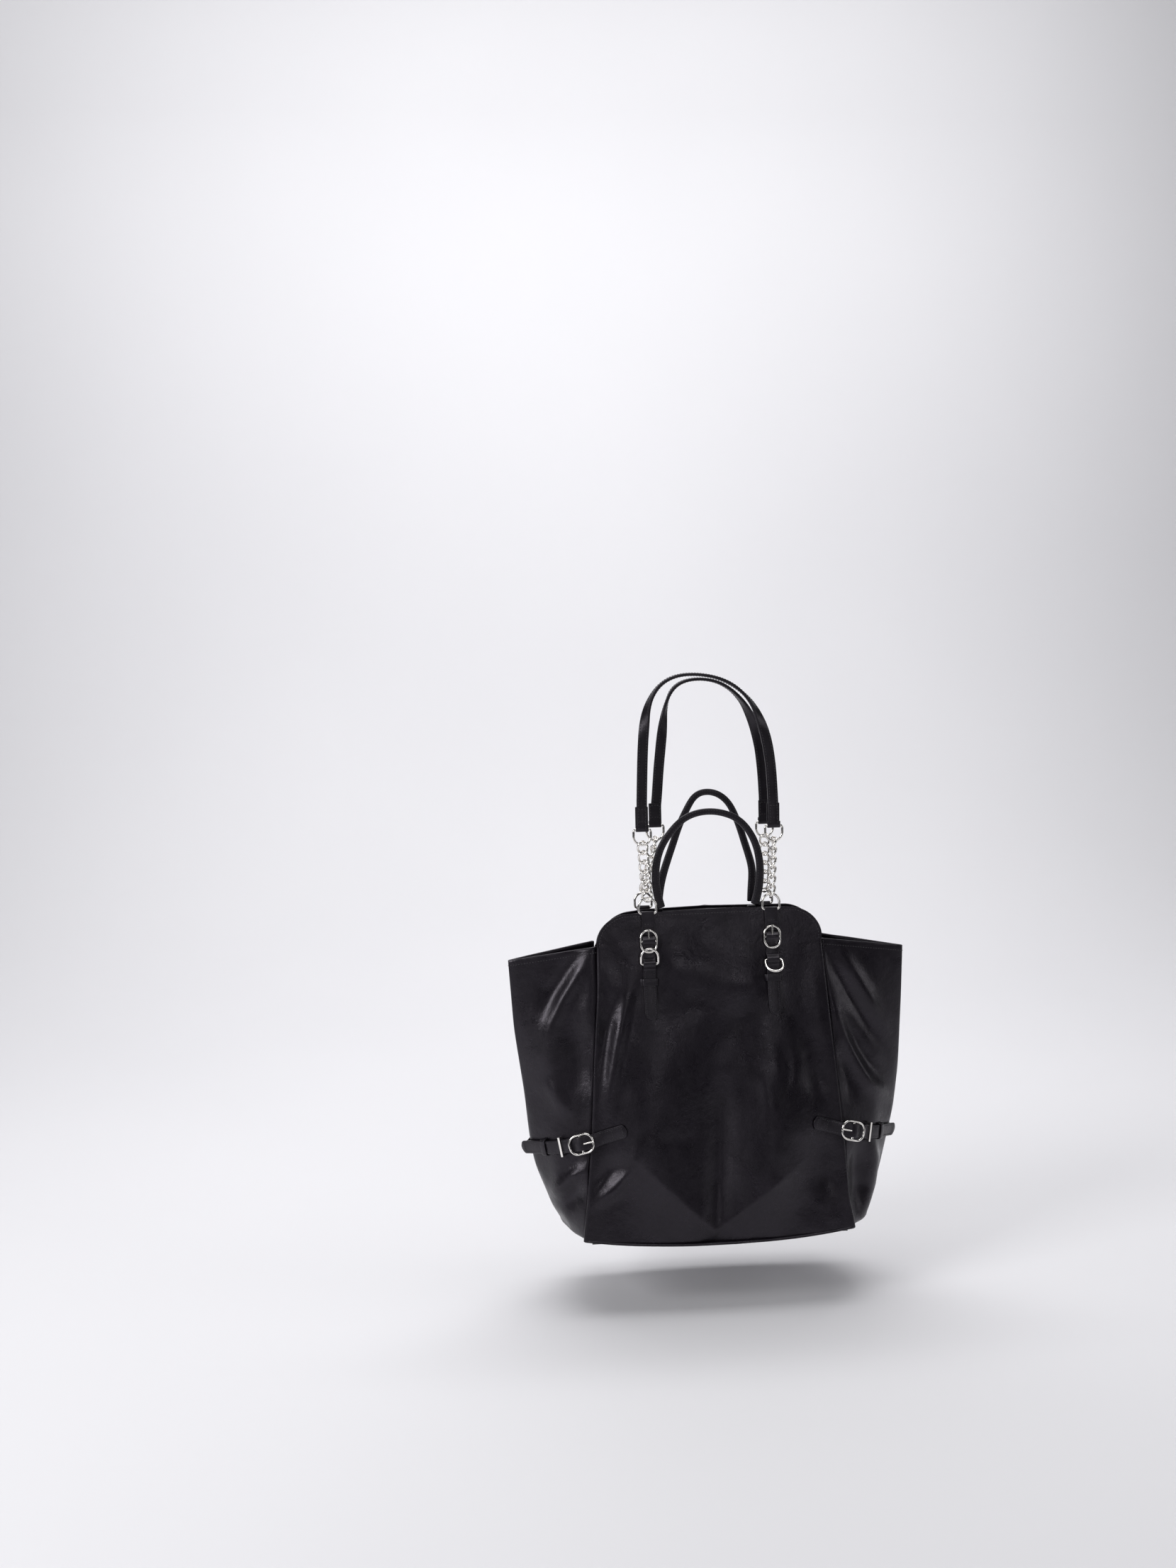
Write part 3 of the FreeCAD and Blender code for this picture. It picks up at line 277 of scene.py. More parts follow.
def strip(path, normals, widths, thicks, corner=0.9, swell=0.0):
    """A leather strip along a path; swell rounds its face between the stitched edges."""
    path = np.asarray(path, float)
    count = len(path)
    widths = np.broadcast_to(np.asarray(widths, float), (count,))
    thicks = np.broadcast_to(np.asarray(thicks, float), (count,))
    normals = np.broadcast_to(np.asarray(normals, float), (count, 3))
    ways, normals, across = directions(path, normals)
    rings = []
    for index in range(count):
        outline = round_section(widths[index], thicks[index], corner)
        puff = swell * np.cos(np.clip(outline[:, 0] / widths[index] * 2, -1, 1) * math.pi / 2)
        outline = outline + np.c_[np.zeros(len(outline)), np.sign(outline[:, 1]) * puff]
        rings.append(path[index] + outline[:, :1] * across[index] + outline[:, 1:] * normals[index])
    # a smaller ring just beyond each end rounds the cut edge
    lead, tail = [rings[end].mean(0) + (rings[end] - rings[end].mean(0)) * 0.86
                  + way * ways[end] * thicks[end] * 0.18 for end, way in ((0, -1), (-1, 1))]
    rings = [lead] + rings + [tail]
    return np.concatenate(rings), tube_faces(count + 2, len(rings[0]))


def edge_lines(path, normals, wide, inset, lift, faces=(-1, 1)):
    """Lines a little inside a strip's edges, on its faces, each with the face's way out."""
    _, faced, across = directions(path, normals)
    for edge in (-1, 1):
        for face in faces:
            yield (path + across * (wide / 2 - inset)[:, None] * edge + faced * lift * face,
                   faced * face, face)


def stitches(path, normals, pitch=3.3, long=2.3, thick=0.42, sink=0.1):
    """A row of thread stitches lying on a surface along a path."""
    path = np.asarray(path, float)
    normals = np.broadcast_to(np.asarray(normals, float), path.shape)
    run = run_along(path)
    count = max(2, int(run[-1] / pitch))
    marks = (np.arange(count) + 0.5) * run[-1] / count
    places = read_at(marks, run, path)
    ways = unit(read_at(marks + 0.4, run, path) - read_at(marks - 0.4, run, path))
    faced = unit(read_at(marks, run, normals))
    across = np.cross(ways, faced)
    points, faces = [], []
    sides = 6
    stages = [(-0.5, 0.35, -0.5), (-0.34, 0.95, 0.1), (0, 1.05, 0.3), (0.34, 0.95, 0.1),
              (0.5, 0.35, -0.5)]
    for place, way, normal, side in zip(places, ways, faced, across):
        base = len(points)
        for share, fat, lift in stages:
            middle = place + way * share * long + normal * (lift * thick - sink)
            for step in range(sides):
                angle = 2 * math.pi * step / sides
                points.append(middle + fat * thick * (math.cos(angle) * side
                                                      + math.sin(angle) * normal))
        faces += tube_faces(len(stages), sides, base)
    return np.array(points), faces


# Pitch, length and thickness of a stitch on the small straps, at their ends and on the handles.
FINE_STITCH = 2.7, 1.9, 0.36
END_STITCH = 2.4, 1.7, 0.36
HANDLE_STITCH = 3.2, 2.2, 0.38


# ------------------------------------------------------------------ materials

def material(name, slots):
    item = bpy.data.materials.new(name)
    item.use_nodes = True
    tree = item.node_tree
    shader = tree.nodes["Principled BSDF"]
    for socket, value in slots.items():
        shader.inputs[socket].default_value = value
    return item, tree, shader


def texture(tree, kind, scale, **inputs):
    node = tree.nodes.new(kind)
    place = tree.nodes.new("ShaderNodeTexCoord")
    tree.links.new(place.outputs["Object"], node.inputs["Vector"])
    node.inputs["Scale"].default_value = scale
    for socket, value in inputs.items():
        node.inputs[socket].default_value = value
    return node


def noise(tree, scale, **inputs):
    return texture(tree, "ShaderNodeTexNoise", scale, **inputs).outputs["Fac"]


def polish(tree, shader, source, low, high):
    """Roughness between low and high, after the middle of a texture's range."""
    node = tree.nodes.new("ShaderNodeMapRange")
    for socket, value in (("From Min", 0.3), ("From Max", 0.7), ("To Min", low), ("To Max", high)):
        node.inputs[socket].default_value = value
    tree.links.new(source, node.inputs["Value"])
    tree.links.new(node.outputs["Result"], shader.inputs["Roughness"])


def bumps(tree, shader, layers):
    """Chains bump nodes: each layer is (height output, strength, distance)."""
    previous = None
    for height, strength, distance in layers:
        node = tree.nodes.new("ShaderNodeBump")
        node.inputs["Strength"].default_value = strength
        node.inputs["Distance"].default_value = distance
        tree.links.new(height, node.inputs["Height"])
        if previous is not None:
            tree.links.new(previous, node.inputs["Normal"])
        previous = node.outputs["Normal"]
    tree.links.new(previous, shader.inputs["Normal"])


def colours(tree, shader, source, stops):
    """Base colour from a texture: each stop is (place, colour)."""
    ramp = tree.nodes.new("ShaderNodeValToRGB")
    elements = ramp.color_ramp.elements
    for element, (position, colour) in zip(elements, (stops[0], stops[-1])):
        element.position, element.color = position, (*colour, 1)
    for position, colour in stops[1:-1]:
        elements.new(position).color = (*colour, 1)
    tree.links.new(source, ramp.inputs["Fac"])
    tree.links.new(ramp.outputs["Color"], shader.inputs["Base Color"])


def leather(name, dark, light, rough, grain, sheen):
    item, tree, shader = material(name, {"IOR": 1.48, "Specular IOR Level": 0.40,
                                         "Specular Tint": (0.95, 0.88, 1.0, 1),
                                         "Coat Weight": sheen, "Coat Roughness": 0.32})
    mottle = noise(tree, 17.0, Detail=5.0, Roughness=0.62)
    wear = noise(tree, 46.0, Detail=6.0, Roughness=0.7)
    cells = texture(tree, "ShaderNodeTexVoronoi", grain, Randomness=1.0)
    pores = noise(tree, grain * 1.7, Detail=3.0, Roughness=0.55)
    pull = noise(tree, 120.0, Detail=4.0, Roughness=0.6)
    colours(tree, shader, mottle, [(0.30, dark), (0.55, light), (0.75, dark)])
    polish(tree, shader, wear, rough - 0.07, rough + 0.12)
    bumps(tree, shader, [(mottle, 0.45, 0.0030), (wear, 0.45, 0.0012), (pull, 0.55, 0.0005),
                         (cells.outputs["Distance"], 0.30, 0.00022), (pores, 0.20, 0.00012)])
    return item


SHELL = leather("shell_leather_black", (0.0026, 0.0020, 0.0032), (0.0048, 0.0036, 0.0060), 0.30,
                950.0, 0.06)
TRIM = leather("trim_leather_black", (0.0042, 0.0036, 0.0049), (0.0074, 0.0062, 0.0086), 0.34,
               1050.0, 0.10)
STRAP = leather("strap_leather_black", (0.0026, 0.0021, 0.0031), (0.0046, 0.0038, 0.0055), 0.35,
                1000.0, 0.08)


def speckled(name, slots, scale, detail, stops, dents=None):
    """A material with one texture for its colour and, where given, its dents."""
    item, tree, shader = material(name, slots)
    tone = noise(tree, scale, Detail=detail)
    colours(tree, shader, tone, stops)
    if dents:
        bumps(tree, shader, [(tone, *dents)])
    return item


def nickel():
    item, tree, shader = material("polished_nickel", {"Metallic": 1.0, "IOR": 1.45})
    haze = noise(tree, 160.0, Detail=6.0, Roughness=0.65)
    marks = noise(tree, 900.0, Detail=3.0)
    colours(tree, shader, haze, [(0.35, (0.83, 0.80, 0.76)), (0.65, (0.90, 0.88, 0.85))])
    polish(tree, shader, haze, 0.10, 0.22)
    bumps(tree, shader, [(marks, 0.08, 0.0001)])
    return item


def cloth():
    item, tree, shader = material("lining_twill", {"Roughness": 0.85, "Sheen Weight": 0.25,
                                                   "IOR": 1.45})
    twill = texture(tree, "ShaderNodeTexWave", 420.0, Distortion=0.6)
    twill.wave_type, twill.bands_direction = "BANDS", "DIAGONAL"
    tone = noise(tree, 14.0, Detail=4.0)
    colours(tree, shader, tone, [(0.3, (0.016, 0.015, 0.018)), (0.7, (0.026, 0.024, 0.028))])
    bumps(tree, shader, [(twill.outputs["Fac"], 0.35, 0.0003), (tone, 0.3, 0.002)])
    return item


THREAD = speckled("thread_black", {"Roughness": 0.55, "IOR": 1.45}, 1400.0, 2.0,
                  [(0.3, (0.016, 0.015, 0.018)), (0.7, (0.040, 0.037, 0.044))], (0.5, 0.0002))
BOARD = speckled("stiffener_board", {"Roughness": 0.7, "IOR": 1.45}, 300.0, 5.0,
                 [(0.35, (0.03, 0.03, 0.032)), (0.65, (0.05, 0.05, 0.052))], (0.3, 0.0003))
PAPER = speckled("pale_paper", {"Roughness": 0.9, "Specular IOR Level": 0.1}, 1.2, 2.0,
                 [(0.3, (0.78, 0.775, 0.80)), (0.7, (0.80, 0.795, 0.82))])
NICKEL, CLOTH = nickel(), cloth()


# ------------------------------------------------------------------ the leather shell

# The panels' slope, height along it, half width at the base and its loss per height,
# half depth at the base, upper corners and leather.
LEAN_RATE = 0.152
LEAN = math.atan(LEAN_RATE)
TALL, BASE_HALF, TAPER = 386.0, 158.0, 0.0699
DEPTH = 75.0
CORNER_WIDE, CORNER_TALL = 35.0, 34.0
CORNER_START = TALL - CORNER_TALL
LEATHER = 2.4
# The wings' tops at their seams and folds, their leather and the bend between the two.
WING_SEAM_TOP, WING_FOLD_TOP = 340.0, 323.0
GUSSET_LEATHER = 2.2
BEND_SHARE = 0.55


def on_panel(x, off, slope):
    """Bag's frame from the front panel's own: across, inward and up its slope."""
    x, off, slope = np.broadcast_arrays(np.asarray(x, float), off, slope)
    return np.stack([x, -DEPTH + slope * math.sin(LEAN) + off * math.cos(LEAN),
                     0.36 + slope * math.cos(LEAN) - off * math.sin(LEAN)], axis=-1)


def panel_way(x, off, slope):
    """A direction given across, inward and up the panel."""
    return on_panel(x, off, slope) - on_panel(0, 0, 0)


PANEL_IN = np.array([0, math.cos(LEAN), -math.sin(LEAN)])
PANEL_OUT = -PANEL_IN

# How far each side seam wanders from its straight line, towards the middle of the bag.
SEAM_DRIFT = {
    "left": curve_through([0, 10, 50, 129, 209, 290, 345, 386],
                          [-2.5, -2.5, -1, 2, 1.8, 4.4, 0, 0]),
    "right": curve_through([0, 12, 36, 115, 197, 279, 345, 386],
                           [0, 0, 2.8, 0.3, 0.6, 1.1, 1.6, 0]),
}
# How far out each wing's fold stands, and the share of the depth left at the bend.
FOLDS_OUT = {
    "left": curve_through([0, 36, 80, 115, 167, 244, 322, 345],
                          [175, 195, 213, 219, 224, 235, 240, 241]),
    "right": curve_through([0, 50, 93, 128, 180, 267, 319, 345],
                           [188, 206, 217, 226, 233, 238, 240, 241]),
}
BENDS = curve_through([0, 15, 36, 85, 120, 170, 250, 340],
                      [0.50, 0.58, 0.61, 0.62, 0.62, 0.60, 0.54, 0.46])

# Share of a fold's line over which it rises at one end and dies away at the other.
FOLD_FADE = 0.42
# Ridges and valleys: height, width and line of each, across and up the slope.
FRONT_LOBES = [
    (15.0, 42.0, [(-46, 300), (-60, 240), (-72, 170), (-76, 118), (-62, 60), (-50, 20)]),
    (16.0, 40.0, [(66, 290), (72, 230), (68, 150), (60, 80), (50, 20)]),
]
FRONT_FOLDS = [
    (-6.0, 14.0, [(10, 240), (6, 160), (2, 96), (-4, 45), (-10, 0), (-16, -60)]),
    (5.0, 32.0, [(-120, 308), (-40, 306), (20, 298), (110, 290)]),
    (-3.0, 24.0, [(-44, 330), (-30, 290), (-14, 250)]),
    (-3.0, 22.0, [(36, 300), (24, 240), (16, 190)]),
    (6.5, 8.5, [(-88, 322), (-99, 290), (-109, 256), (-118, 220), (-124, 190), (-132, 150),
                (-136, 120)]),
    (-4.5, 11.0, [(-116, 292), (-125, 256), (-131, 228), (-138, 180)]),
    (2.4, 9.0, [(-132, 330), (-124, 306), (-112, 280)]),
    (5.0, 8.0, [(-96, 130), (-98, 106), (-106, 86), (-124, 67), (-152, 50), (-176, 40)]),
    (-4.0, 11.0, [(-112, 104), (-130, 86), (-156, 64)]),
    (-4.0, 24.0, [(116, 128), (122, 84), (128, 36)]),
    (-4.0, 18.0, [(106, 262), (114, 206), (124, 140)]),
    (3.0, 14.0, [(122, 340), (128, 280), (136, 220), (142, 160)]),
    (2.0, 9.0, [(40, 214), (56, 184), (60, 150), (52, 116)]),
    (-2.4, 9.0, [(78, 236), (84, 196), (78, 160)]),
]
BACK_LOBES = [
    (11.0, 40.0, [(-50, 290), (-70, 200), (-76, 110), (-60, 20)]),
    (11.0, 38.0, [(60, 280), (72, 180), (70, 90), (58, 20)]),
]
BACK_FOLDS = [
    (-5.5, 14.0, [(-8, 230), (-4, 150), (2, 80), (6, 20), (10, -50)]),
    (5.5, 8.5, [(96, 312), (112, 270), (122, 214), (134, 150)]),
    (-4.0, 12.0, [(126, 280), (136, 210), (142, 160)]),
    (2.6, 30.0, [(-50, 350), (0, 338), (44, 320)]),
    (4.0, 10.0, [(-98, 260), (-112, 200), (-130, 140)]),
    (-3.0, 18.0, [(-40, 300), (-26, 240), (-20, 200)]),
    (4.0, 9.0, [(100, 118), (108, 84), (146, 48), (170, 36)]),
]


def panel_relief(side, x, slope):
    """How far the stuffed panel stands out from its flat pattern."""
    folds, lobes = (FRONT_FOLDS, FRONT_LOBES) if side == "front" else (BACK_FOLDS, BACK_LOBES)
    relief = creases(x, slope, folds, FOLD_FADE)
    relief += ripple(x, slope, 3 if side == "front" else 8, 0.8)
    # the leather tucks under to the base below a line that falls to a point in the middle
    tuck = 13 + np.where(x < -9, -9 - x, (x + 9) * 0.72) * 0.98
    under = np.clip((slope + 4) / (tuck + 4), 0, 1)
    relief += creases(x, slope, lobes) * (0.18 + 0.82 * (1 - ease(110, 300, slope))) \
        * (0.5 * under + 0.5 * under ** 2)
    relief += 2.0 * (1 - np.clip(np.abs(x) / BASE_HALF, 0, 1) ** 2) * np.exp(-(slope / 34) ** 2)
    calm = np.exp(-((np.abs(x) - 73) / 15) ** 2) * ease(270, 304, slope)
    calm = np.maximum(calm, ease(352, 380, slope))
    belt = np.exp(-(to_line(np.abs(x), slope, [(141, 125), (160, 118)])[0] / 13) ** 2)
    side_seam = ease(0, 26, panel_half(slope) - np.abs(x))
    return relief * (1 - calm) * (1 - belt) * (0.15 + 0.85 * side_seam)


def panel_half(slope):
    """Half width: tapered, with elliptical corners at the top."""
    lift = np.clip((slope - CORNER_START) / CORNER_TALL, 0, 1)
    return BASE_HALF - TAPER * slope - CORNER_WIDE * (1 - np.sqrt(1 - lift ** 2))


# How far the mouth's edge dips below its straight pattern line, across the panel.
MOUTH_DIP = {
    "front": ([-160, -110, -73, -20, 30, 73, 110, 160],
              [-4.6, -4.4, -3.2, -1.6, -0.6, -1.6, -2.4, -2.4]),
    "back": ([-160, -73, 0, 73, 104, 160], [-5.0, -3.6, -2.4, -4.6, -8.5, -10.0]),
}
# One upper corner of the back panel is pulled in behind the front panel.
BACK_CORNER_TUCK = 20.0


def drifted(x, slope, side):
    """Moves the outer parts of a row so that its ends follow the wandering seams."""
    left, right = ("left", "right") if side == "front" else ("right", "left")
    share = np.clip(np.abs(x) / BASE_HALF, 0, 1.1) ** 4
    shift = np.where(x < 0, SEAM_DRIFT[left](slope), -SEAM_DRIFT[right](slope))
    if side == "back":
        shift = shift - np.where(x > 0, BACK_CORNER_TUCK, 0) * ease(334, 366, slope)
    return x + shift * share


def base_lift(x):
    return 8.5 * np.clip(np.abs(x) / BASE_HALF, 0, 1.05) ** 2.6


def panel_surface(side, across, slope, off):
    """Places on the panel in its own frame turned to the front; off is how deep inside."""
    x = drifted(across, slope, side)
    lift = base_lift(x) * (1 - ease(0, 60, slope))
    lift += np.interp(x, *MOUTH_DIP[side]) * ease(310, 386, slope)
    return on_panel(x, off - panel_relief(side, x, slope), slope + lift)


def rolled_edge(gap, reach):
    """How much of its roll a sewn edge has at a gap from it: 1 on the edge, 0 at the reach."""
    return 1 - np.sqrt(np.clip(1 - np.clip((reach - gap) / reach, 0, 1) ** 2, 0, 1))


def corner_rows(start, straight, rounded):
    """Places up the slope: even ones below the upper corners and closer ones beside them."""
    return np.r_[np.linspace(start, CORNER_START, straight)[:-1],
                 CORNER_START + CORNER_TALL * np.sin(np.linspace(0, math.pi / 2, rounded))]


def panel(side):
    rows = corner_rows(0, 118, 22)
    crowd = math.pi / 2 * 0.9
    cols = np.sin(np.linspace(-1, 1, 141) * crowd) / math.sin(crowd)
    slope = np.repeat(rows[:, None], len(cols), 1)
    across = cols[None, :] * panel_half(rows)[:, None]
    gap = panel_half(rows)[:, None] - np.abs(across)
    sewn = 1 - ease(WING_SEAM_TOP + 2, WING_SEAM_TOP + 12, slope)
    sunk = 2.6 * rolled_edge(gap, 4.2) * sewn
    outer = panel_surface(side, across, slope, sunk)
    inner = outer - grid_normals(outer) * LEATHER
    piece = Piece().add(*leather_sheet(outer, inner))
    inset = 3.2
    edge = corner_rows(WING_SEAM_TOP + 6, 8, 40)
    left = np.stack([-panel_half(edge), edge], 1)
    rim = np.concatenate([left, (left * [-1, 1])[::-1]])
    rim = rim - quarter_turn(rim) * inset
    line = panel_surface(side, rim[:, 0], rim[:, 1], 0.0)
    piece.sew(line, PANEL_OUT)
    piece.make(side + "_panel_leather", "bag", "shell_leather", [SHELL, THREAD],
               [side + "_panel"], SIDES[side])


def seam_x(height, side):
    return BASE_HALF - TAPER * height - SEAM_DRIFT[side](height)


WING_FOLDS = {
    "left": [
        (5.0, 8.5, [(126, 362), (144, 330), (160, 305), (175, 280), (187, 252), (194, 215),
                    (196, 180)]),
        (-4.0, 11.0, [(144, 348), (166, 318), (188, 286), (206, 250)]),
        (2.4, 9.0, [(136, 340), (142, 306), (146, 262), (148, 230)]),
        (3.6, 22.0, [(212, 300), (206, 240), (200, 160)]),
        (-4.5, 16.0, [(162, 270), (160, 220), (157, 160)]),
        (3.6, 10.0, [(196, 196), (184, 168), (172, 140)]),
        (5.0, 7.0, [(146, 96), (160, 86), (172, 76), (184, 58), (190, 40)]),
        (-4.5, 9.0, [(154, 74), (166, 62), (178, 44), (184, 28)]),
        (4.0, 12.0, [(200, 84), (190, 50), (176, 10)]),
    ],
    "right": [
        (-5.0, 10.0, [(130, 350), (150, 308), (170, 270), (196, 226), (222, 180)]),
        (4.5, 11.0, [(142, 346), (166, 306), (190, 264), (216, 210)]),
        (6.0, 8.5, [(136, 290), (150, 246), (167, 204), (186, 168), (212, 146), (236, 132)]),
        (-5.0, 12.0, [(146, 262), (166, 226), (188, 190), (220, 164)]),
        (-4.0, 12.0, [(150, 226), (158, 186), (168, 140)]),
        (6.5, 8.5, [(176, 128), (188, 104), (192, 76), (187, 44), (172, 10), (160, -20)]),
        (-7.0, 12.0, [(160, 116), (168, 86), (168, 50), (160, 6)]),
    ],
}


def wing(hand):
    """Side leather from the front seam round the fold to the back seam."""
    sign = HANDS[hand]
    rows, cols = 104, 121
    turn = np.linspace(-1, 1, cols)
    half = np.abs(turn)
    top = WING_FOLD_TOP + (WING_SEAM_TOP - WING_FOLD_TOP) * half + 1.2
    low = 13.0
    height = low + (top - low)[None, :] * np.linspace(0, 1, rows)[:, None]
    across, fold = seam_x(height, hand), FOLDS_OUT[hand](height) + 1.5
    depth = DEPTH - LEAN_RATE * height - 2.6
    share = 1 - half[None, :]
    x = across + (fold - across) * share
    left = BENDS(height)
    y = np.where(share < BEND_SHARE, depth * (1 - (1 - left) * share / BEND_SHARE),
                 depth * left * (1 - share) / (1 - BEND_SHARE))
    grid = np.stack([x, y * np.sign(turn)[None, :], height], -1)
    grid = soften(grid, 3.4, axis=1)
    normals = faced_out(grid_normals(grid), (rows // 2, cols // 2), (1, 0, 0))
    folds = creases(grid[..., 0], grid[..., 2], WING_FOLDS[hand], FOLD_FADE)
    other = creases(grid[..., 0], grid[..., 2], WING_FOLDS["right" if hand == "left" else "left"],
                    FOLD_FADE)
    front = 1 - ease(-0.25, 0.25, turn)[None, :]
    relief = folds * front + other * 0.8 * (1 - front)
    relief += ripple(grid[..., 0] + grid[..., 1], grid[..., 2], 5 if hand == "left" else 6, 0.45)
    belt_line = 121 - (grid[..., 0] - 149.5) * 0.287
    calm = np.exp(-((grid[..., 2] - belt_line) / 16) ** 2)
    relief *= (1 - calm) * ease(0, 0.12, half - 0.02)[None, :] * ease(0, 0.05, share)
    gap = (1 - half)[None, :] * np.hypot(fold - across, depth)
    relief -= 2.0 * rolled_edge(gap, 4)
    grid = grid + normals * relief[..., None]
    # the lower edge curls under to its seam with the base
    start = grid[0]
    foot = np.stack([np.full(cols, 152.5), start[:, 1] * 0.985,
                     base_lift(start[:, 0]) * half ** 2 + 0.6], 1)
    under = np.stack([foot + (start - foot) * [math.sin(angle), math.sin(angle),
                                               1 - math.cos(angle)]
                      for angle in np.linspace(0, math.pi / 2, 12)[:-1]])
    outer = np.concatenate([under, grid])
    normals = faced_out(grid_normals(outer), (60, cols // 2), (1, 0, 0))
    normals = unit(soften(normals, 1.2, axis=1))
    inner = outer - normals * GUSSET_LEATHER
    if hand == "left":
        outer, inner = outer * [-1, 1, 1], inner * [-1, 1, 1]
        outer, inner = outer[:, ::-1], inner[:, ::-1]
    piece = Piece().add(*leather_sheet(outer, inner))
    normals = faced_out(grid_normals(outer), (60, 30), (sign, 0, 0))
    row = len(outer) - 3
    piece.sew(outer[row], normals[row])
    piece.make(hand + "_gusset_leather", "bag", "shell_leather", [SHELL, THREAD],
               [hand + "_gusset"])


def base():
    """The base leather, drooping between its sewn edges."""
    rows, cols = 41, 81
    u = np.linspace(-1, 1, cols)[None, :]
    v = np.linspace(-1, 1, rows)[:, None]
    x = u * 155.5 + 0 * v
    reach = DEPTH - 1.6 + 8.0 * (1 - u ** 2)
    y = v * reach
    z = base_lift(x) * (0.55 + 0.45 * v ** 2) + 0.5 * (1 - np.abs(v) ** 6)
    z += 0.25 * ripple(x, y, 21, 0.6)
    low = np.stack([x, y, np.maximum(z, 0.0)], -1)
    high = low + np.array([0, 0, LEATHER])
    Piece().add(*leather_sheet(low[:, ::-1], high[:, ::-1])).make(
        "base_leather", "bag", "shell_leather", [SHELL], ["base_panel"])


def facing(side):
    """Leather band inside the mouth, sewn to the panel."""
    ends, halves, cols = [317, 383], [124, 97], 61
    near, far = LEATHER + 0.15, LEATHER + 1.35
    rows = np.linspace(*ends, 18)
    across = np.linspace(-1, 1, cols)[None, :] * np.interp(rows, ends, halves)[:, None]
    slope = np.repeat(rows[:, None], cols, 1)
    outer = panel_surface(side, across, slope, near)
    inner = panel_surface(side, across, slope, far)
    piece = Piece().add(*leather_sheet(outer, inner))
    low = panel_surface(side, across[1], slope[1] + 1.5, far)
    piece.sew(low, PANEL_IN)
    piece.make(side + "_facing_leather", "bag", "trim_leather", [TRIM, THREAD],
               [side + "_facing"], SIDES[side])


def lining():
    """The cloth bag inside, a little slack and wrinkled."""
    heights = np.r_[np.linspace(5.5, 30, 8), np.linspace(38, 313, 56)]
    cols = 200
    loops = []
    for height in heights:
        depth = DEPTH - LEAN_RATE * height - 6.4
        wide = BASE_HALF - TAPER * height - 5.0
        corners = []
        for hand, order in (("right", 1), ("left", -1)):
            tip = FOLDS_OUT[hand](height) - 12
            bend_x = wide + BEND_SHARE * (tip - wide)
            bend_y = BENDS(height) * depth - 1.0
            corners += [(order * wide, -order * depth), (order * bend_x, -order * bend_y),
                        (order * tip, 0), (order * bend_x, order * bend_y),
                        (order * wide, order * depth)]
        ring = np.array([(x, y, height) for x, y in corners + corners[:1]])
        ring = resample(ring, cols + 1)[:-1]
        ring = np.concatenate([ring[-12:], ring, ring[:12]])
        loops.append(soften(ring, 1.6)[12:-12])
    grid = np.stack(loops)
    outward = grid_normals(grid, wrap=True)
    if np.sum(outward[30] * grid[30] * [1, 1, 0]) < 0:
        outward = -outward
    relief = np.where(grid[..., 1] < 0, panel_relief("front", grid[..., 0], grid[..., 2]),
                      panel_relief("back", -grid[..., 0], grid[..., 2]))
    flat = 1 - ease(110, 150, np.abs(grid[..., 0]))
    wrinkle = ripple(grid[..., 0] * 1.4 + grid[..., 1], grid[..., 2], 31, 0.9, (60.0, 38.0, 22.0))
    grid = grid + outward * (np.minimum(relief, 2.0) * flat + wrinkle - 1.0)[..., None]
    floor = [grid[0] * [share, share, 1] + [0, 0, 0.02] for share in (0.02, 0.3, 0.6, 0.85, 0.96)]
    grid = np.concatenate([np.stack(floor), grid])
    outward = np.concatenate([np.repeat([[[0, 0, -1.0]]], 5, 0) * np.ones((5, cols, 1)), outward])
    inner = grid - outward * 0.9
    piece = Piece().add(*leather_sheet(grid, inner, wrap=True))
    piece.make("lining_cloth_bag", "bag", "lining_cloth", [CLOTH], ["lining"])


# ------------------------------------------------------------------ tabs on the panels

TAB_X, TAB_WIDE = 73.0, 15.0
TAB_TIP = 259.2
# Middles of the top ring's bar, the buckle's bar and the low ring's bar: slope and off.
TOP_BAR, BUCKLE_BAR, LOW_BAR = (382.0, 3.1), (349.5, 4.3), (323.0, 4.9)


def tab_places(x, line, outward):
    """A line of (slope, off) and its outward ways, both in the bag's frame."""
    return on_panel(x, -line[:, 1], line[:, 0]), panel_way(0, -outward[:, 1], outward[:, 0])


def arc(middle, radius, start, end, steps=9):
    """Points round a middle (slope, off); 0 degrees is outward and 90 is up the slope."""
    angles = np.radians(np.linspace(start, end, steps))
    return [(middle[0] + radius * math.sin(a), middle[1] + radius * math.cos(a)) for a in angles]


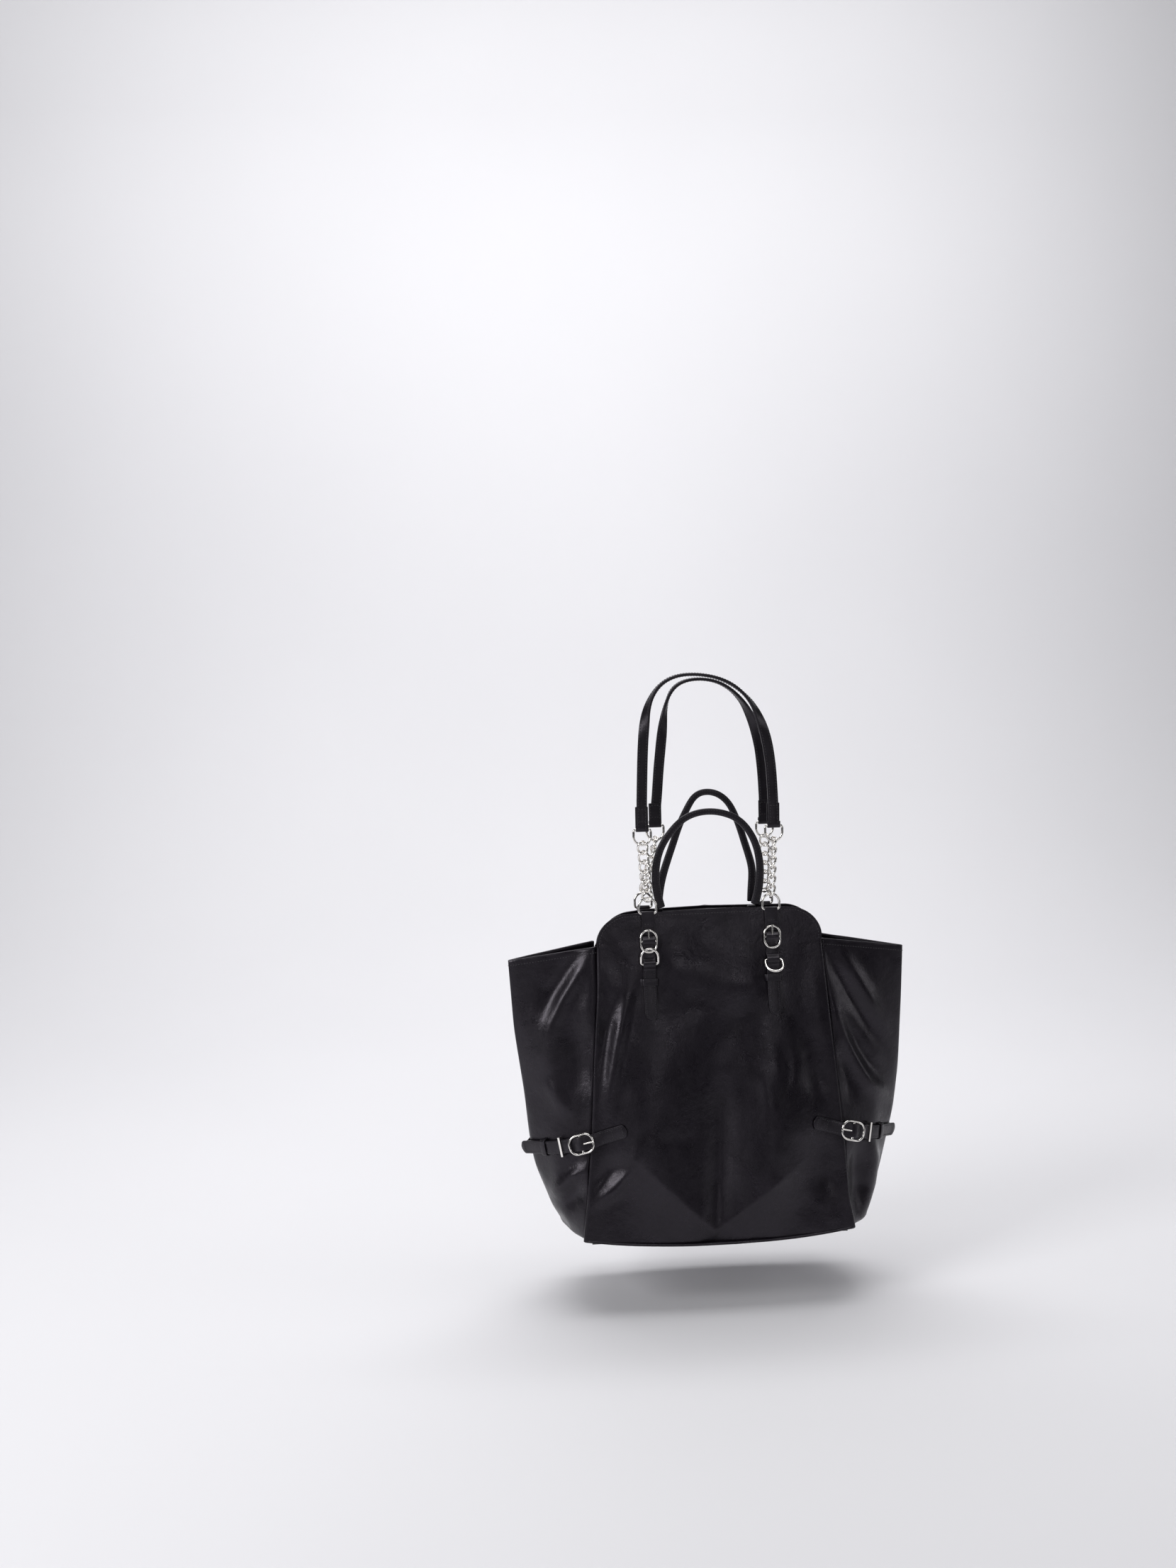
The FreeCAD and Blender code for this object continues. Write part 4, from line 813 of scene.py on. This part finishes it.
def tab(side, hand):
    x = HANDS[hand] * TAB_X
    # from the folded end, over the top ring's bar, down behind it and on to the tip
    path = [(366.5, 3.75), (374, 3.75)] + arc(TOP_BAR, 2.3, 25, 200, 14)
    path += [(376, 1.55), (366, 1.55), (356.5, 1.6)]
    path += arc(BUCKLE_BAR, 3.35, 62, -62, 11)
    path += [(341.5, 1.7), (335, 1.6), (328.8, 2.0)]
    path += arc(LOW_BAR, 2.4, 58, -58, 9)
    path += [(317, 1.9), (311, 1.55), (290, 1.5), (TAB_TIP, 1.5)]
    line = smooth_line(path, 190, 1.3)
    outward = faced_out(quarter_turn(line), -20, (0, 1))
    left = line[:, 0] - TAB_TIP
    last = np.arange(len(line)) > 100
    tip = np.where(last & (left < TAB_WIDE / 2),
                   np.sqrt(np.clip(1 - (1 - left / (TAB_WIDE / 2)) ** 2, 0.02, 1)), 1.0)
    run = run_along(line)
    thick = np.interp(run, [0, 16, 26, 60, run[-1] - 62, run[-1] - 50, run[-1]],
                      [1.5, 1.5, 1.7, 1.7, 1.9, 2.6, 2.6])
    line[:, 1] += np.where(last, panel_relief(side, np.full(len(line), x), line[:, 0]), 0)
    places, normals = tab_places(x, line, outward)
    piece = Piece().add(*strip(places, normals, TAB_WIDE * tip, thick, corner=0.7))
    lower = (left < 56) & last
    span = line[lower]
    rail, tip_middle = 5.2, TAB_TIP + TAB_WIDE / 2
    for sign in (-1, 1):
        edge = np.stack([np.full(span.shape[0], float(sign) * rail), span[:, 0]], 1)
        turn = edge[:, 1] < tip_middle
        ahead = (tip_middle - edge[turn, 1]) / rail
        edge[turn, 0] = sign * rail * np.sqrt(np.clip(1 - ahead ** 2, 0, 1))
        edge = edge[edge[:, 1] > TAB_TIP + 2.4]
        off = np.interp(edge[:, 1][::-1], span[:, 0][::-1], span[:, 1][::-1])[::-1] + 1.3
        piece.sew(on_panel(x + edge[:, 0], -off, edge[:, 1]), PANEL_OUT, *FINE_STITCH)
    across = np.linspace(-4.6, 4.6, 5)
    piece.sew(on_panel(x + across, -4.55, 369.3), PANEL_OUT, *END_STITCH)
    piece.make(f"{side}_{hand}_tab_leather", "bag", "trim_leather", [TRIM, THREAD],
               [f"{side}_{hand}_tab"], SIDES[side])


def tab_chapes(side):
    """Thin strips under the tabs that hold the buckles' bars."""
    piece = Piece()
    for sign in HANDS.values():
        path = [(311.2, 0.65), (330, 0.65), (342, 0.7), (346.5, 1.4)]
        path += arc(BUCKLE_BAR, 1.85, -150, 110, 14)
        line = smooth_line(path, 60, 1.0)
        places, normals = tab_places(sign * TAB_X, line, quarter_turn(line))
        piece.add(*strip(places, normals, 13.6, 1.05, corner=0.4))
    piece.make(side + "_tab_chape_strips", "bag", "trim_leather", [TRIM],
               [side + "_tab_chapes"], SIDES[side])


def tab_keepers(side):
    """Leather bands round the tabs, with their edges turned to the panel."""
    piece = Piece()
    for sign in HANDS.values():
        outline = [(-10.6, 0.7), (-9.2, 1.1), (-8.6, 3.0), (-7.6, 3.9), (0, 4.05), (7.6, 3.9),
                   (8.6, 3.0), (9.2, 1.1), (10.6, 0.7)]
        flat = smooth_line(outline, 48, 1.5)
        outward = quarter_turn(flat)
        places = on_panel(sign * TAB_X + flat[:, 0], -flat[:, 1], 302.2)
        normals = panel_way(outward[:, 0], -outward[:, 1], 0)
        piece.add(*strip(places, normals, 8.2, 1.25, corner=0.6, swell=0.15))
    piece.make(side + "_tab_keeper_bands", "bag", "trim_leather", [TRIM],
               [side + "_tab_keepers"], SIDES[side])


# ------------------------------------------------------------------ shoulder straps and handles

# Where each strap's ends hang and its middle line, seen from its own side: across and up.
STRAP_SHAPES = {
    "front": {"left": -77.5, "right": 77.5,
              "line": [(-77.5, 477.4), (-77.6, 500), (-76.6, 530), (-75.5, 560), (-74, 585),
                       (-70.5, 615), (-64, 632), (-54, 645), (-42, 652.5), (-26, 656.3),
                       (-5, 655.5), (12, 652), (25, 647), (40, 637), (54.8, 621), (65.3, 597),
                       (71.8, 572), (75, 547), (76.5, 522), (77.3, 498), (77.5, 477.4)]},
    "back": {"left": -75.0, "right": 57.0,
             "line": [(-75, 477.4), (-75, 500), (-73.5, 535), (-70.5, 566), (-64, 595),
                      (-52, 620), (-38, 636), (-22, 646), (-4, 650), (14, 649.5), (27, 645),
                      (35, 638), (40, 626), (43.5, 612), (47, 584), (51.5, 545), (54, 514),
                      (56.4, 490), (57, 477.4)]},
}
STRAP_BAR = (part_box("front_left_strap_ring")[1].z / MM) - 1.4
RING_Y = ANCHORS["front_ring_swing"][1]


def shoulder_strap(side):
    shape = STRAP_SHAPES[side]
    path = smooth_line([(x, 0, up - STRAP_BAR) for x, up in shape["line"]], 180, 3.5)
    rise = path[:, 2].max()
    share = path[:, 2] / rise
    twist = np.radians(90) * ease(0.5, 0.95, share)
    ways = heading(path)
    normals = (np.array([0, -1.0, 0]) * np.cos(twist)[:, None]
               + np.cross(ways, [0, 1.0, 0]) * np.sin(twist)[:, None])
    low = path[:, 2]
    path[:, 1] = RING_Y - 1.9 * (1 - ease(2, 34, low))
    path[:, 2] += STRAP_BAR
    wide = np.interp(low, [0, 26, 60, rise], [15.0, 14.8, 12.8, 12.2])
    thick = np.interp(low, [0, 26, 40], [1.7, 2.0, 3.2])
    keep = low > 1.5
    path, normals, wide, thick, low = path[keep], normals[keep], wide[keep], thick[keep], low[keep]
    piece = Piece().add(*strip(path, normals, wide, thick, corner=0.9, swell=0.25))
    for line, faced, face in edge_lines(path, normals, wide, 2.1, (thick / 2 + 0.12)[:, None]):
        sewn = np.flatnonzero(low > (4 if face > 0 else 27))[:-1]
        piece.sew(line[sewn], faced[sewn])
    # each end folds round its ring's bar and lies doubled behind the strap
    for hand in HANDS:
        x, loop = shape[hand], 2.2
        turns = np.radians(np.linspace(180, 360, 18))
        bend = [(x, RING_Y + loop * math.cos(a), STRAP_BAR + loop * math.sin(a)) for a in turns]
        bend = [(x, RING_Y - 2.1, STRAP_BAR + 5)] + bend
        bend += [(x, RING_Y + 2.3, STRAP_BAR + 6), (x, RING_Y + 2.0, STRAP_BAR + 16),
                 (x, RING_Y + 1.9, STRAP_BAR + 26)]
        bend = smooth_line(bend, 54, 1.0)
        out = unit(np.cross(np.gradient(bend, axis=0), [1.0, 0, 0]))
        piece.add(*strip(bend, out, 15.0, 1.7, corner=0.6))
        for rail in (-5.4, 5.4):
            line = np.array([(x + rail, RING_Y + 2.9, STRAP_BAR + up) for up in (7, 24)])
            piece.sew(line, (0, 1.0, 0))
        for up in (9.5, 23.5):
            for face, off in ((-1.0, -3.1), (1.0, 2.95)):
                line = np.array([(x - 5, RING_Y + off, STRAP_BAR + up),
                                 (x + 5, RING_Y + off, STRAP_BAR + up)])
                piece.sew(line, (0, face, 0), 2.6, 1.9)
    piece.make(side + "_strap_leather", side + "_shoulder_strap", "strap_leather",
               [STRAP, THREAD], [side + "_strap"], SIDES[side])


# Each handle's lean and its middle line, seen from its own side: across and up from the pivot.
HANDLE_SHAPES = {
    "front": (4.0, [(-56, 0), (-60, 14), (-62.5, 30), (-62, 47), (-58.7, 64), (-51.8, 79), (-43, 90),
                    (-34.7, 100), (-22.8, 108), (-8, 112), (4, 112.5), (17, 110.5), (32, 105),
                    (41, 98), (49, 88), (56, 75), (60.5, 60), (62.5, 44), (62, 28), (60, 14),
                    (56, 0)]),
    "back": (0.0, [(-56, 0), (-56, 8), (-56.8, 18), (-58.4, 38), (-54, 54), (-49.5, 68),
                   (-43, 90), (-33, 115), (-26, 124), (-16, 131), (-3, 133.5), (8, 131),
                   (13, 126), (18, 116), (26, 101), (31, 90), (36, 75), (43, 56), (50.5, 34),
                   (55, 14), (56, 0)]),
}
HANDLE_X = 56.0


def handle(side):
    lean, line = HANDLE_SHAPES[side]
    pivot = ANCHORS["front_handle_swing"]
    path = smooth_line([(x, 0, up) for x, up in line], 150, 4.0)
    rise = path[:, 2].max()
    wobble = 0.9 * np.sin(path[:, 2] / rise * math.pi) * np.sign(path[:, 0])
    path[:, 1] += wobble
    tilt = math.radians(lean)
    y, z = path[:, 1].copy(), path[:, 2].copy()
    path[:, 1] = y * math.cos(tilt) - z * math.sin(tilt) + pivot[1]
    path[:, 2] = y * math.sin(tilt) + z * math.cos(tilt) + pivot[2]
    front = np.array([0, -math.cos(tilt), -math.sin(tilt)])
    wide = np.interp(z, [0, 12, 40, rise], [10.0, 9.8, 9.2, 7.6])
    piece = Piece().add(*strip(path, front, wide, 4.4, corner=1.7, swell=0.25))
    for line, faced, _ in edge_lines(path, np.broadcast_to(front, path.shape), wide, 2.0, 2.32):
        piece.sew(line, faced, *HANDLE_STITCH)
    piece.make(side + "_handle_leather", side + "_carry_handle", "strap_leather",
               [STRAP, THREAD], [side + "_handle"], SIDES[side])


def handle_ends(side):
    piece = Piece()
    for sign in HANDS.values():
        foot = 335.3
        slope = np.linspace(foot, 382.5, 40)
        near = slope - foot
        wide = 10 * np.where(near < 5, np.sqrt(np.clip(1 - (1 - near / 5) ** 2, 0.02, 1)), 1)
        path = on_panel(sign * HANDLE_X, 5.4, slope)
        piece.add(*strip(path, PANEL_IN, wide, 2.8, corner=0.8))
        for rail in (-3.2, 3.2):
            line = on_panel(sign * HANDLE_X + rail, 6.9, np.linspace(341, 380, 6))
            piece.sew(line, PANEL_IN, *HANDLE_STITCH)
    piece.make(side + "_handle_feet", "bag", "strap_leather", [STRAP, THREAD],
               [side + "_handle_ends"], SIDES[side])


# ------------------------------------------------------------------ chains

def curb_link(wire=1.42, half=5.7, reach=7.4, steps=44, sides=12):
    """One link of round wire, bent so that identical links lie flat in a row."""
    turns = np.linspace(0, 2 * math.pi, steps, endpoint=False)
    kink = np.radians(45) * np.sin(turns)
    out = half * np.sign(np.cos(turns)) * np.abs(np.cos(turns)) ** 0.92
    up = reach * np.sign(np.sin(turns)) * np.abs(np.sin(turns)) ** 0.92
    path = np.stack([out * np.cos(kink), out * np.sin(kink), up], 1)
    ways = unit(np.roll(path, -1, 0) - np.roll(path, 1, 0))
    first = unit(np.cross(ways, [0.01, 1.0, 0.02]))
    second = np.cross(ways, first)
    points = []
    for place, a, b in zip(path, first, second):
        for step in range(sides):
            angle = 2 * math.pi * step / sides
            points.append(place + wire * (math.cos(angle) * a + math.sin(angle) * b))
    return np.array(points), tube_faces(steps, sides, closed=True)


# How the first and the last link of each chain face, in degrees round the chain.
CHAIN_FACES = {("front", "left"): (-6, 4), ("front", "right"): (-60, -92),
               ("back", "left"): (-8, 6), ("back", "right"): (-50, -94)}
LINKS = 6
FIRST_LINK = 3.3


def turned(points, angle, first, second):
    """Points turned from the first axis towards the second."""
    matrix = np.eye(3)
    matrix[first, first] = matrix[second, second] = math.cos(angle)
    matrix[first, second], matrix[second, first] = math.sin(angle), -math.sin(angle)
    return points @ matrix


def chain(side, hand):
    ring_x = HANDS[hand] * TAB_X
    top_x = STRAP_SHAPES[side][hand]
    low = ANCHORS["front_chain_swing"][2]
    high = ANCHORS["front_strap_swing"][2]
    run, rise = top_x - ring_x, high - low
    long = math.hypot(run, rise)
    link, faces = curb_link()
    piece = Piece()
    slant = math.atan2(run, rise)
    for index in range(LINKS):
        share = index / (LINKS - 1)
        face = np.radians(np.interp(share, [0, 1], CHAIN_FACES[side, hand]))
        up = FIRST_LINK + share * (long - 2 * FIRST_LINK)
        points = turned(link, face, 0, 1)
        points[:, 2] += up
        points = turned(points, slant, 2, 0)
        piece.add(points + [ring_x, RING_Y, low], faces)
    piece.make(f"{side}_{hand}_curb_chain", side + "_chains", "hardware", [NICKEL],
               [f"{side}_{hand}_chain"], SIDES[side])


# ------------------------------------------------------------------ side belts

# A belt's height at the seam, its fall per mm outward, where the seam and the band are.
BELT_Z, BELT_FALL, BELT_SEAM, BAND_X = 121.0, math.tan(math.radians(16.0)), 149.54, 198.0
# The plain wing at some heights: how far out its fold is, and the depth left at its bend.
WING_LEVELS = np.array([(0, 163, .50), (15, 179, .58), (36, 196, .61), (85, 214, .62),
                        (120, 221, .62), (170, 228, .60), (250, 236, .54), (340, 240, .46)])


def shell_depth(x, height):
    """Depth of the shell's plain surface in front of the middle, on the right."""
    depth = DEPTH - LEAN_RATE * height
    across = BASE_HALF - TAPER * height
    fold, left = [np.interp(height, WING_LEVELS[:, 0], WING_LEVELS[:, k]) for k in (1, 2)]
    share = (x - across) / (fold - across)
    if share <= 0:
        return depth
    if share <= BEND_SHARE:
        return depth * (1 - (1 - left) * share / BEND_SHARE)
    return depth * left * (1 - share) / (1 - BEND_SHARE)


def belt_height(x):
    return BELT_Z - (x - BELT_SEAM) * BELT_FALL


def belt_point(x, off):
    """Place and outward normal on a belt's line, at an offset from the plain shell."""
    height = belt_height(x)
    slope = (shell_depth(x - 1, height) - shell_depth(x + 1, height)) / 2
    lean = (shell_depth(x, height - 1) - shell_depth(x, height + 1)) / 2
    normal = unit(np.array([slope, -1, lean]))
    return np.array([x, -shell_depth(x, height), height]) + normal * off, normal


def belt_path(marks, count, blur, side="front", sign=1.0):
    """A belt's middle line and outward normals; on the panel it follows the stuffed leather."""
    placed = []
    for x, off in marks:
        slope = np.array([belt_height(x) / math.cos(LEAN)])
        swell = panel_relief(side, np.array([sign * min(x, BELT_SEAM)]), slope)[0]
        placed.append(belt_point(x, off + swell * (x < BELT_SEAM)))
    path, faced = [np.array(values) for values in zip(*placed)]
    run = run_along(path)
    normals = read_at(np.linspace(0, run[-1], count), run, faced)
    return smooth_line(path, count, blur), unit(soften(normals, blur * 2))


def belt_width(wide, near):
    """Width of a belt strip with a rounded end, at a distance from that end."""
    return wide * np.sqrt(np.clip(1 - np.clip(1 - near / 5.5, 0, 1) ** 2.6, 0.12, 1))


def belt(hand):
    """Front strip of a side belt: its sewn end, the buckle and its tail."""
    start = {"left": 107.5, "right": 112.5}[hand]
    marks = [(start, 1.3), (start + 5, 1.4), (118, 1.4), (122, 1.5), (127, 1.5), (132, 1.5),
             (137, 1.7), (144, 2.6), (149.2, 2.9), (153.5, 7.6), (159, 9.6), (164.5, 6.2),
             (170.6, 5.9), (175, 5.0), (180, 3.8), (192, 3.7), (203, 3.9), (214, 4.6), (221, 6.0)]
    path, normals = belt_path(marks, 150, 2.2, "front", HANDS[hand])
    run = run_along(path)
    wide = belt_width(15.6, np.minimum(run, run[-1] - run))
    piece = Piece().add(*strip(path, normals, wide, 1.7, corner=0.7, swell=0.2))
    for line, faced, _ in edge_lines(path, normals, wide, 2.2, 0.95, faces=(1,)):
        for part in ((run > 5) & (run < 33), (run > 66) & (run < run[-1] - 5)):
            piece.sew(line[part], faced[part], *FINE_STITCH)
    _, faced, across = directions(path, normals)
    for mark in (4.6, 17.5, run[-1] - 4.6):
        index = int(np.argmin(np.abs(run - mark)))
        reach = np.linspace(-5.2, 5.2, 6)[:, None]
        line = path[index] + across[index] * reach + faced[index] * 0.98
        piece.sew(line, faced[index], *END_STITCH)
    piece.make(hand + "_belt_leather", "bag", "trim_leather", [TRIM, THREAD],
               [hand + "_belt"], (HANDS[hand], 1, 1))


def belt_chape(hand):
    """Back strip of a side belt, from the buckle over the fold to the back panel."""
    marks = [(161, 5.9), (163.5, 2.6), (168, 1.4), (180, 1.3), (192, 1.4), (201, 1.6), (211, 2.0)]
    front, front_faced = belt_path(marks, 40, 1.5)
    back_marks = [(211, 2.0), (200, 1.7), (186, 1.5), (170, 1.4), (158, 1.6), (152, 2.2),
                  (147, 2.2), (140, 1.4), (132, 1.1), (124, 1.0), (117, 1.0), (110, 1.0)]
    back, back_faced = belt_path(back_marks, 70, 1.5, "back", -HANDS[hand])
    flip = np.array([1, -1, 1])
    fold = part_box("right_belt_chape")
    tip = np.array([[fold[1].x / MM - 0.9, 0.0, front[-1][2] - 3.0]])
    path = np.concatenate([front, tip, back * flip])
    normals = np.concatenate([front_faced, [[1.0, 0, 0]], back_faced * flip])
    run = run_along(path)
    count = 190
    dense = np.linspace(0, run[-1], count)
    normals = unit(soften(read_at(dense, run, normals), 3.0))
    path = smooth_line(path, count, 1.6)
    near = dense[-1] - dense
    wide = belt_width(14.8, near)
    piece = Piece().add(*strip(path, normals, wide, 1.6, corner=0.7))
    part = (near > 5) & (near < 95)
    for line, faced, _ in edge_lines(path, normals, wide, 2.2, 0.9, faces=(1,)):
        piece.sew(line[part], faced[part], *FINE_STITCH)
    piece.make(hand + "_belt_chape_leather", "bag", "trim_leather", [TRIM, THREAD],
               [hand + "_belt_chape"], (HANDS[hand], 1, 1))


def belt_bands():
    """Leather bands that hold each belt's tail."""
    piece = Piece()
    for sign in HANDS.values():
        middle, normal = belt_point(BAND_X, 0.0)
        way = unit(belt_point(BAND_X + 1, 0.0)[0] - belt_point(BAND_X - 1, 0.0)[0])
        across = np.cross(way, normal)
        outline = [(-9.2, 0.4), (-9.3, 3.0), (-8.4, 5.5), (0, 6.1), (8.4, 5.5), (9.3, 3.0),
                   (9.2, 0.4)]
        flat = smooth_line(outline, 44, 1.4)
        path = middle + across * flat[:, :1] + normal * flat[:, 1:2]
        turn = quarter_turn(flat)
        out = faced_out(across * turn[:, :1] + normal * turn[:, 1:2], 22, normal)
        points, faces = strip(path, out, 8.0, 1.3, corner=0.6, swell=0.15)
        if sign < 0:
            points, faces = points * [-1, 1, 1], [face[::-1] for face in faces]
        piece.add(points, faces)
    piece.make("belt_keeper_bands", "bag", "trim_leather", [TRIM], ["belt_keepers"])


# ------------------------------------------------------------------ putting it together

for side in SIDES:
    panel(side)
    facing(side)
    tab_chapes(side)
    tab_keepers(side)
    shoulder_strap(side)
    handle(side)
    handle_ends(side)
    for hand in HANDS:
        tab(side, hand)
        chain(side, hand)
for hand in HANDS:
    wing(hand)
    belt(hand)
    belt_chape(hand)
base()
lining()
belt_bands()

for name, item in frame["nodes"].items():
    if item.hide_render:
        continue
    item.data.materials.clear()
    item.data.materials.append(BOARD if name == "base_board" else NICKEL)

# ------------------------------------------------------------------ studio

# In metres: the sweep's floor and half width, with the bag hanging a little above it.
FLOOR, SWEEP_HALF = -0.082, 2.7
sweep_rows = [(-2.1, FLOOR), (1.2, FLOOR), (1.7, FLOOR + 0.04), (2.1, FLOOR + 0.2),
              (2.4, FLOOR + 0.55), (2.5, FLOOR + 1.1), (2.5, FLOOR + 4.0)]
sweep_rows = smooth_line(sweep_rows, 80, 3.0)
backdrop = bpy.data.meshes.new("studio_sweep")
backdrop.from_pydata([(x, y, z) for y, z in sweep_rows for x in (-SWEEP_HALF, SWEEP_HALF)], [],
                     [[2 * k, 2 * k + 1, 2 * k + 3, 2 * k + 2]
                      for k in range(len(sweep_rows) - 1)])
for polygon in backdrop.polygons:
    polygon.use_smooth = True
sweep = bpy.data.objects.new("studio_sweep", backdrop)
bpy.context.scene.collection.objects.link(sweep)
backdrop.materials.append(PAPER)


def lamp(name, place, target, wide, tall, power):
    light = bpy.data.lights.new(name, "AREA")
    light.shape, light.size, light.size_y = "RECTANGLE", wide, tall
    light.energy = power
    item = bpy.data.objects.new(name, light)
    way = np.array(target, float) - np.array(place, float)
    turn = Vector(way).to_track_quat("-Z", "Y").to_matrix().to_4x4()
    item.matrix_world = Matrix.Translation(place) @ turn
    bpy.context.scene.collection.objects.link(item)


lamp("key", (-1.9, -1.1, 1.3), (0, 0, 0.2), 0.85, 1.15, 27)
lamp("low", (-1.35, -2.4, 0.62), (0, 0, 0.25), 0.7, 0.6, 0.8)
lamp("front", (0.34, -2.7, 1.02), (0, 0, 0.35), 0.9, 0.30, 3.4)
lamp("fill", (2.1, -0.6, 1.0), (0, 0, 0.2), 0.9, 1.4, 7)
lamp("top", (0.0, 0.2, 2.4), (0, 0, 0.2), 1.8, 1.8, 34)
lamp("wall", (0.0, 1.0, 2.6), (0, 2.5, 1.0), 3.4, 0.9, 42)

world = bpy.data.worlds.new("studio_air")
world.use_nodes = True
world.node_tree.nodes["Background"].inputs["Color"].default_value = (0.80, 0.80, 0.86, 1)
world.node_tree.nodes["Background"].inputs["Strength"].default_value = 0.08
bpy.context.scene.world = world
bpy.context.scene.view_settings.view_transform = "Standard"

# ------------------------------------------------------------------ camera

CAMERA_PLACE = (-0.278, -1.715, 0.675)
YAW, PITCH, ROLL = -4.68, -4.8, 1.31
SENSOR, LENS = 36.0, 33.9
camera = bpy.data.cameras.new("camera")
camera.sensor_fit, camera.sensor_width, camera.lens = "AUTO", SENSOR, LENS
camera_item = bpy.data.objects.new("camera", camera)
level = Matrix(((1, 0, 0), (0, 0, -1), (0, 1, 0)))
camera_item.matrix_world = Matrix.Translation(CAMERA_PLACE) @ (
    Matrix.Rotation(math.radians(YAW), 3, "Z") @ Matrix.Rotation(math.radians(PITCH), 3, "X")
    @ Matrix.Rotation(math.radians(ROLL), 3, "Y") @ level).to_4x4()
bpy.context.scene.collection.objects.link(camera_item)
bpy.context.scene.camera = camera_item
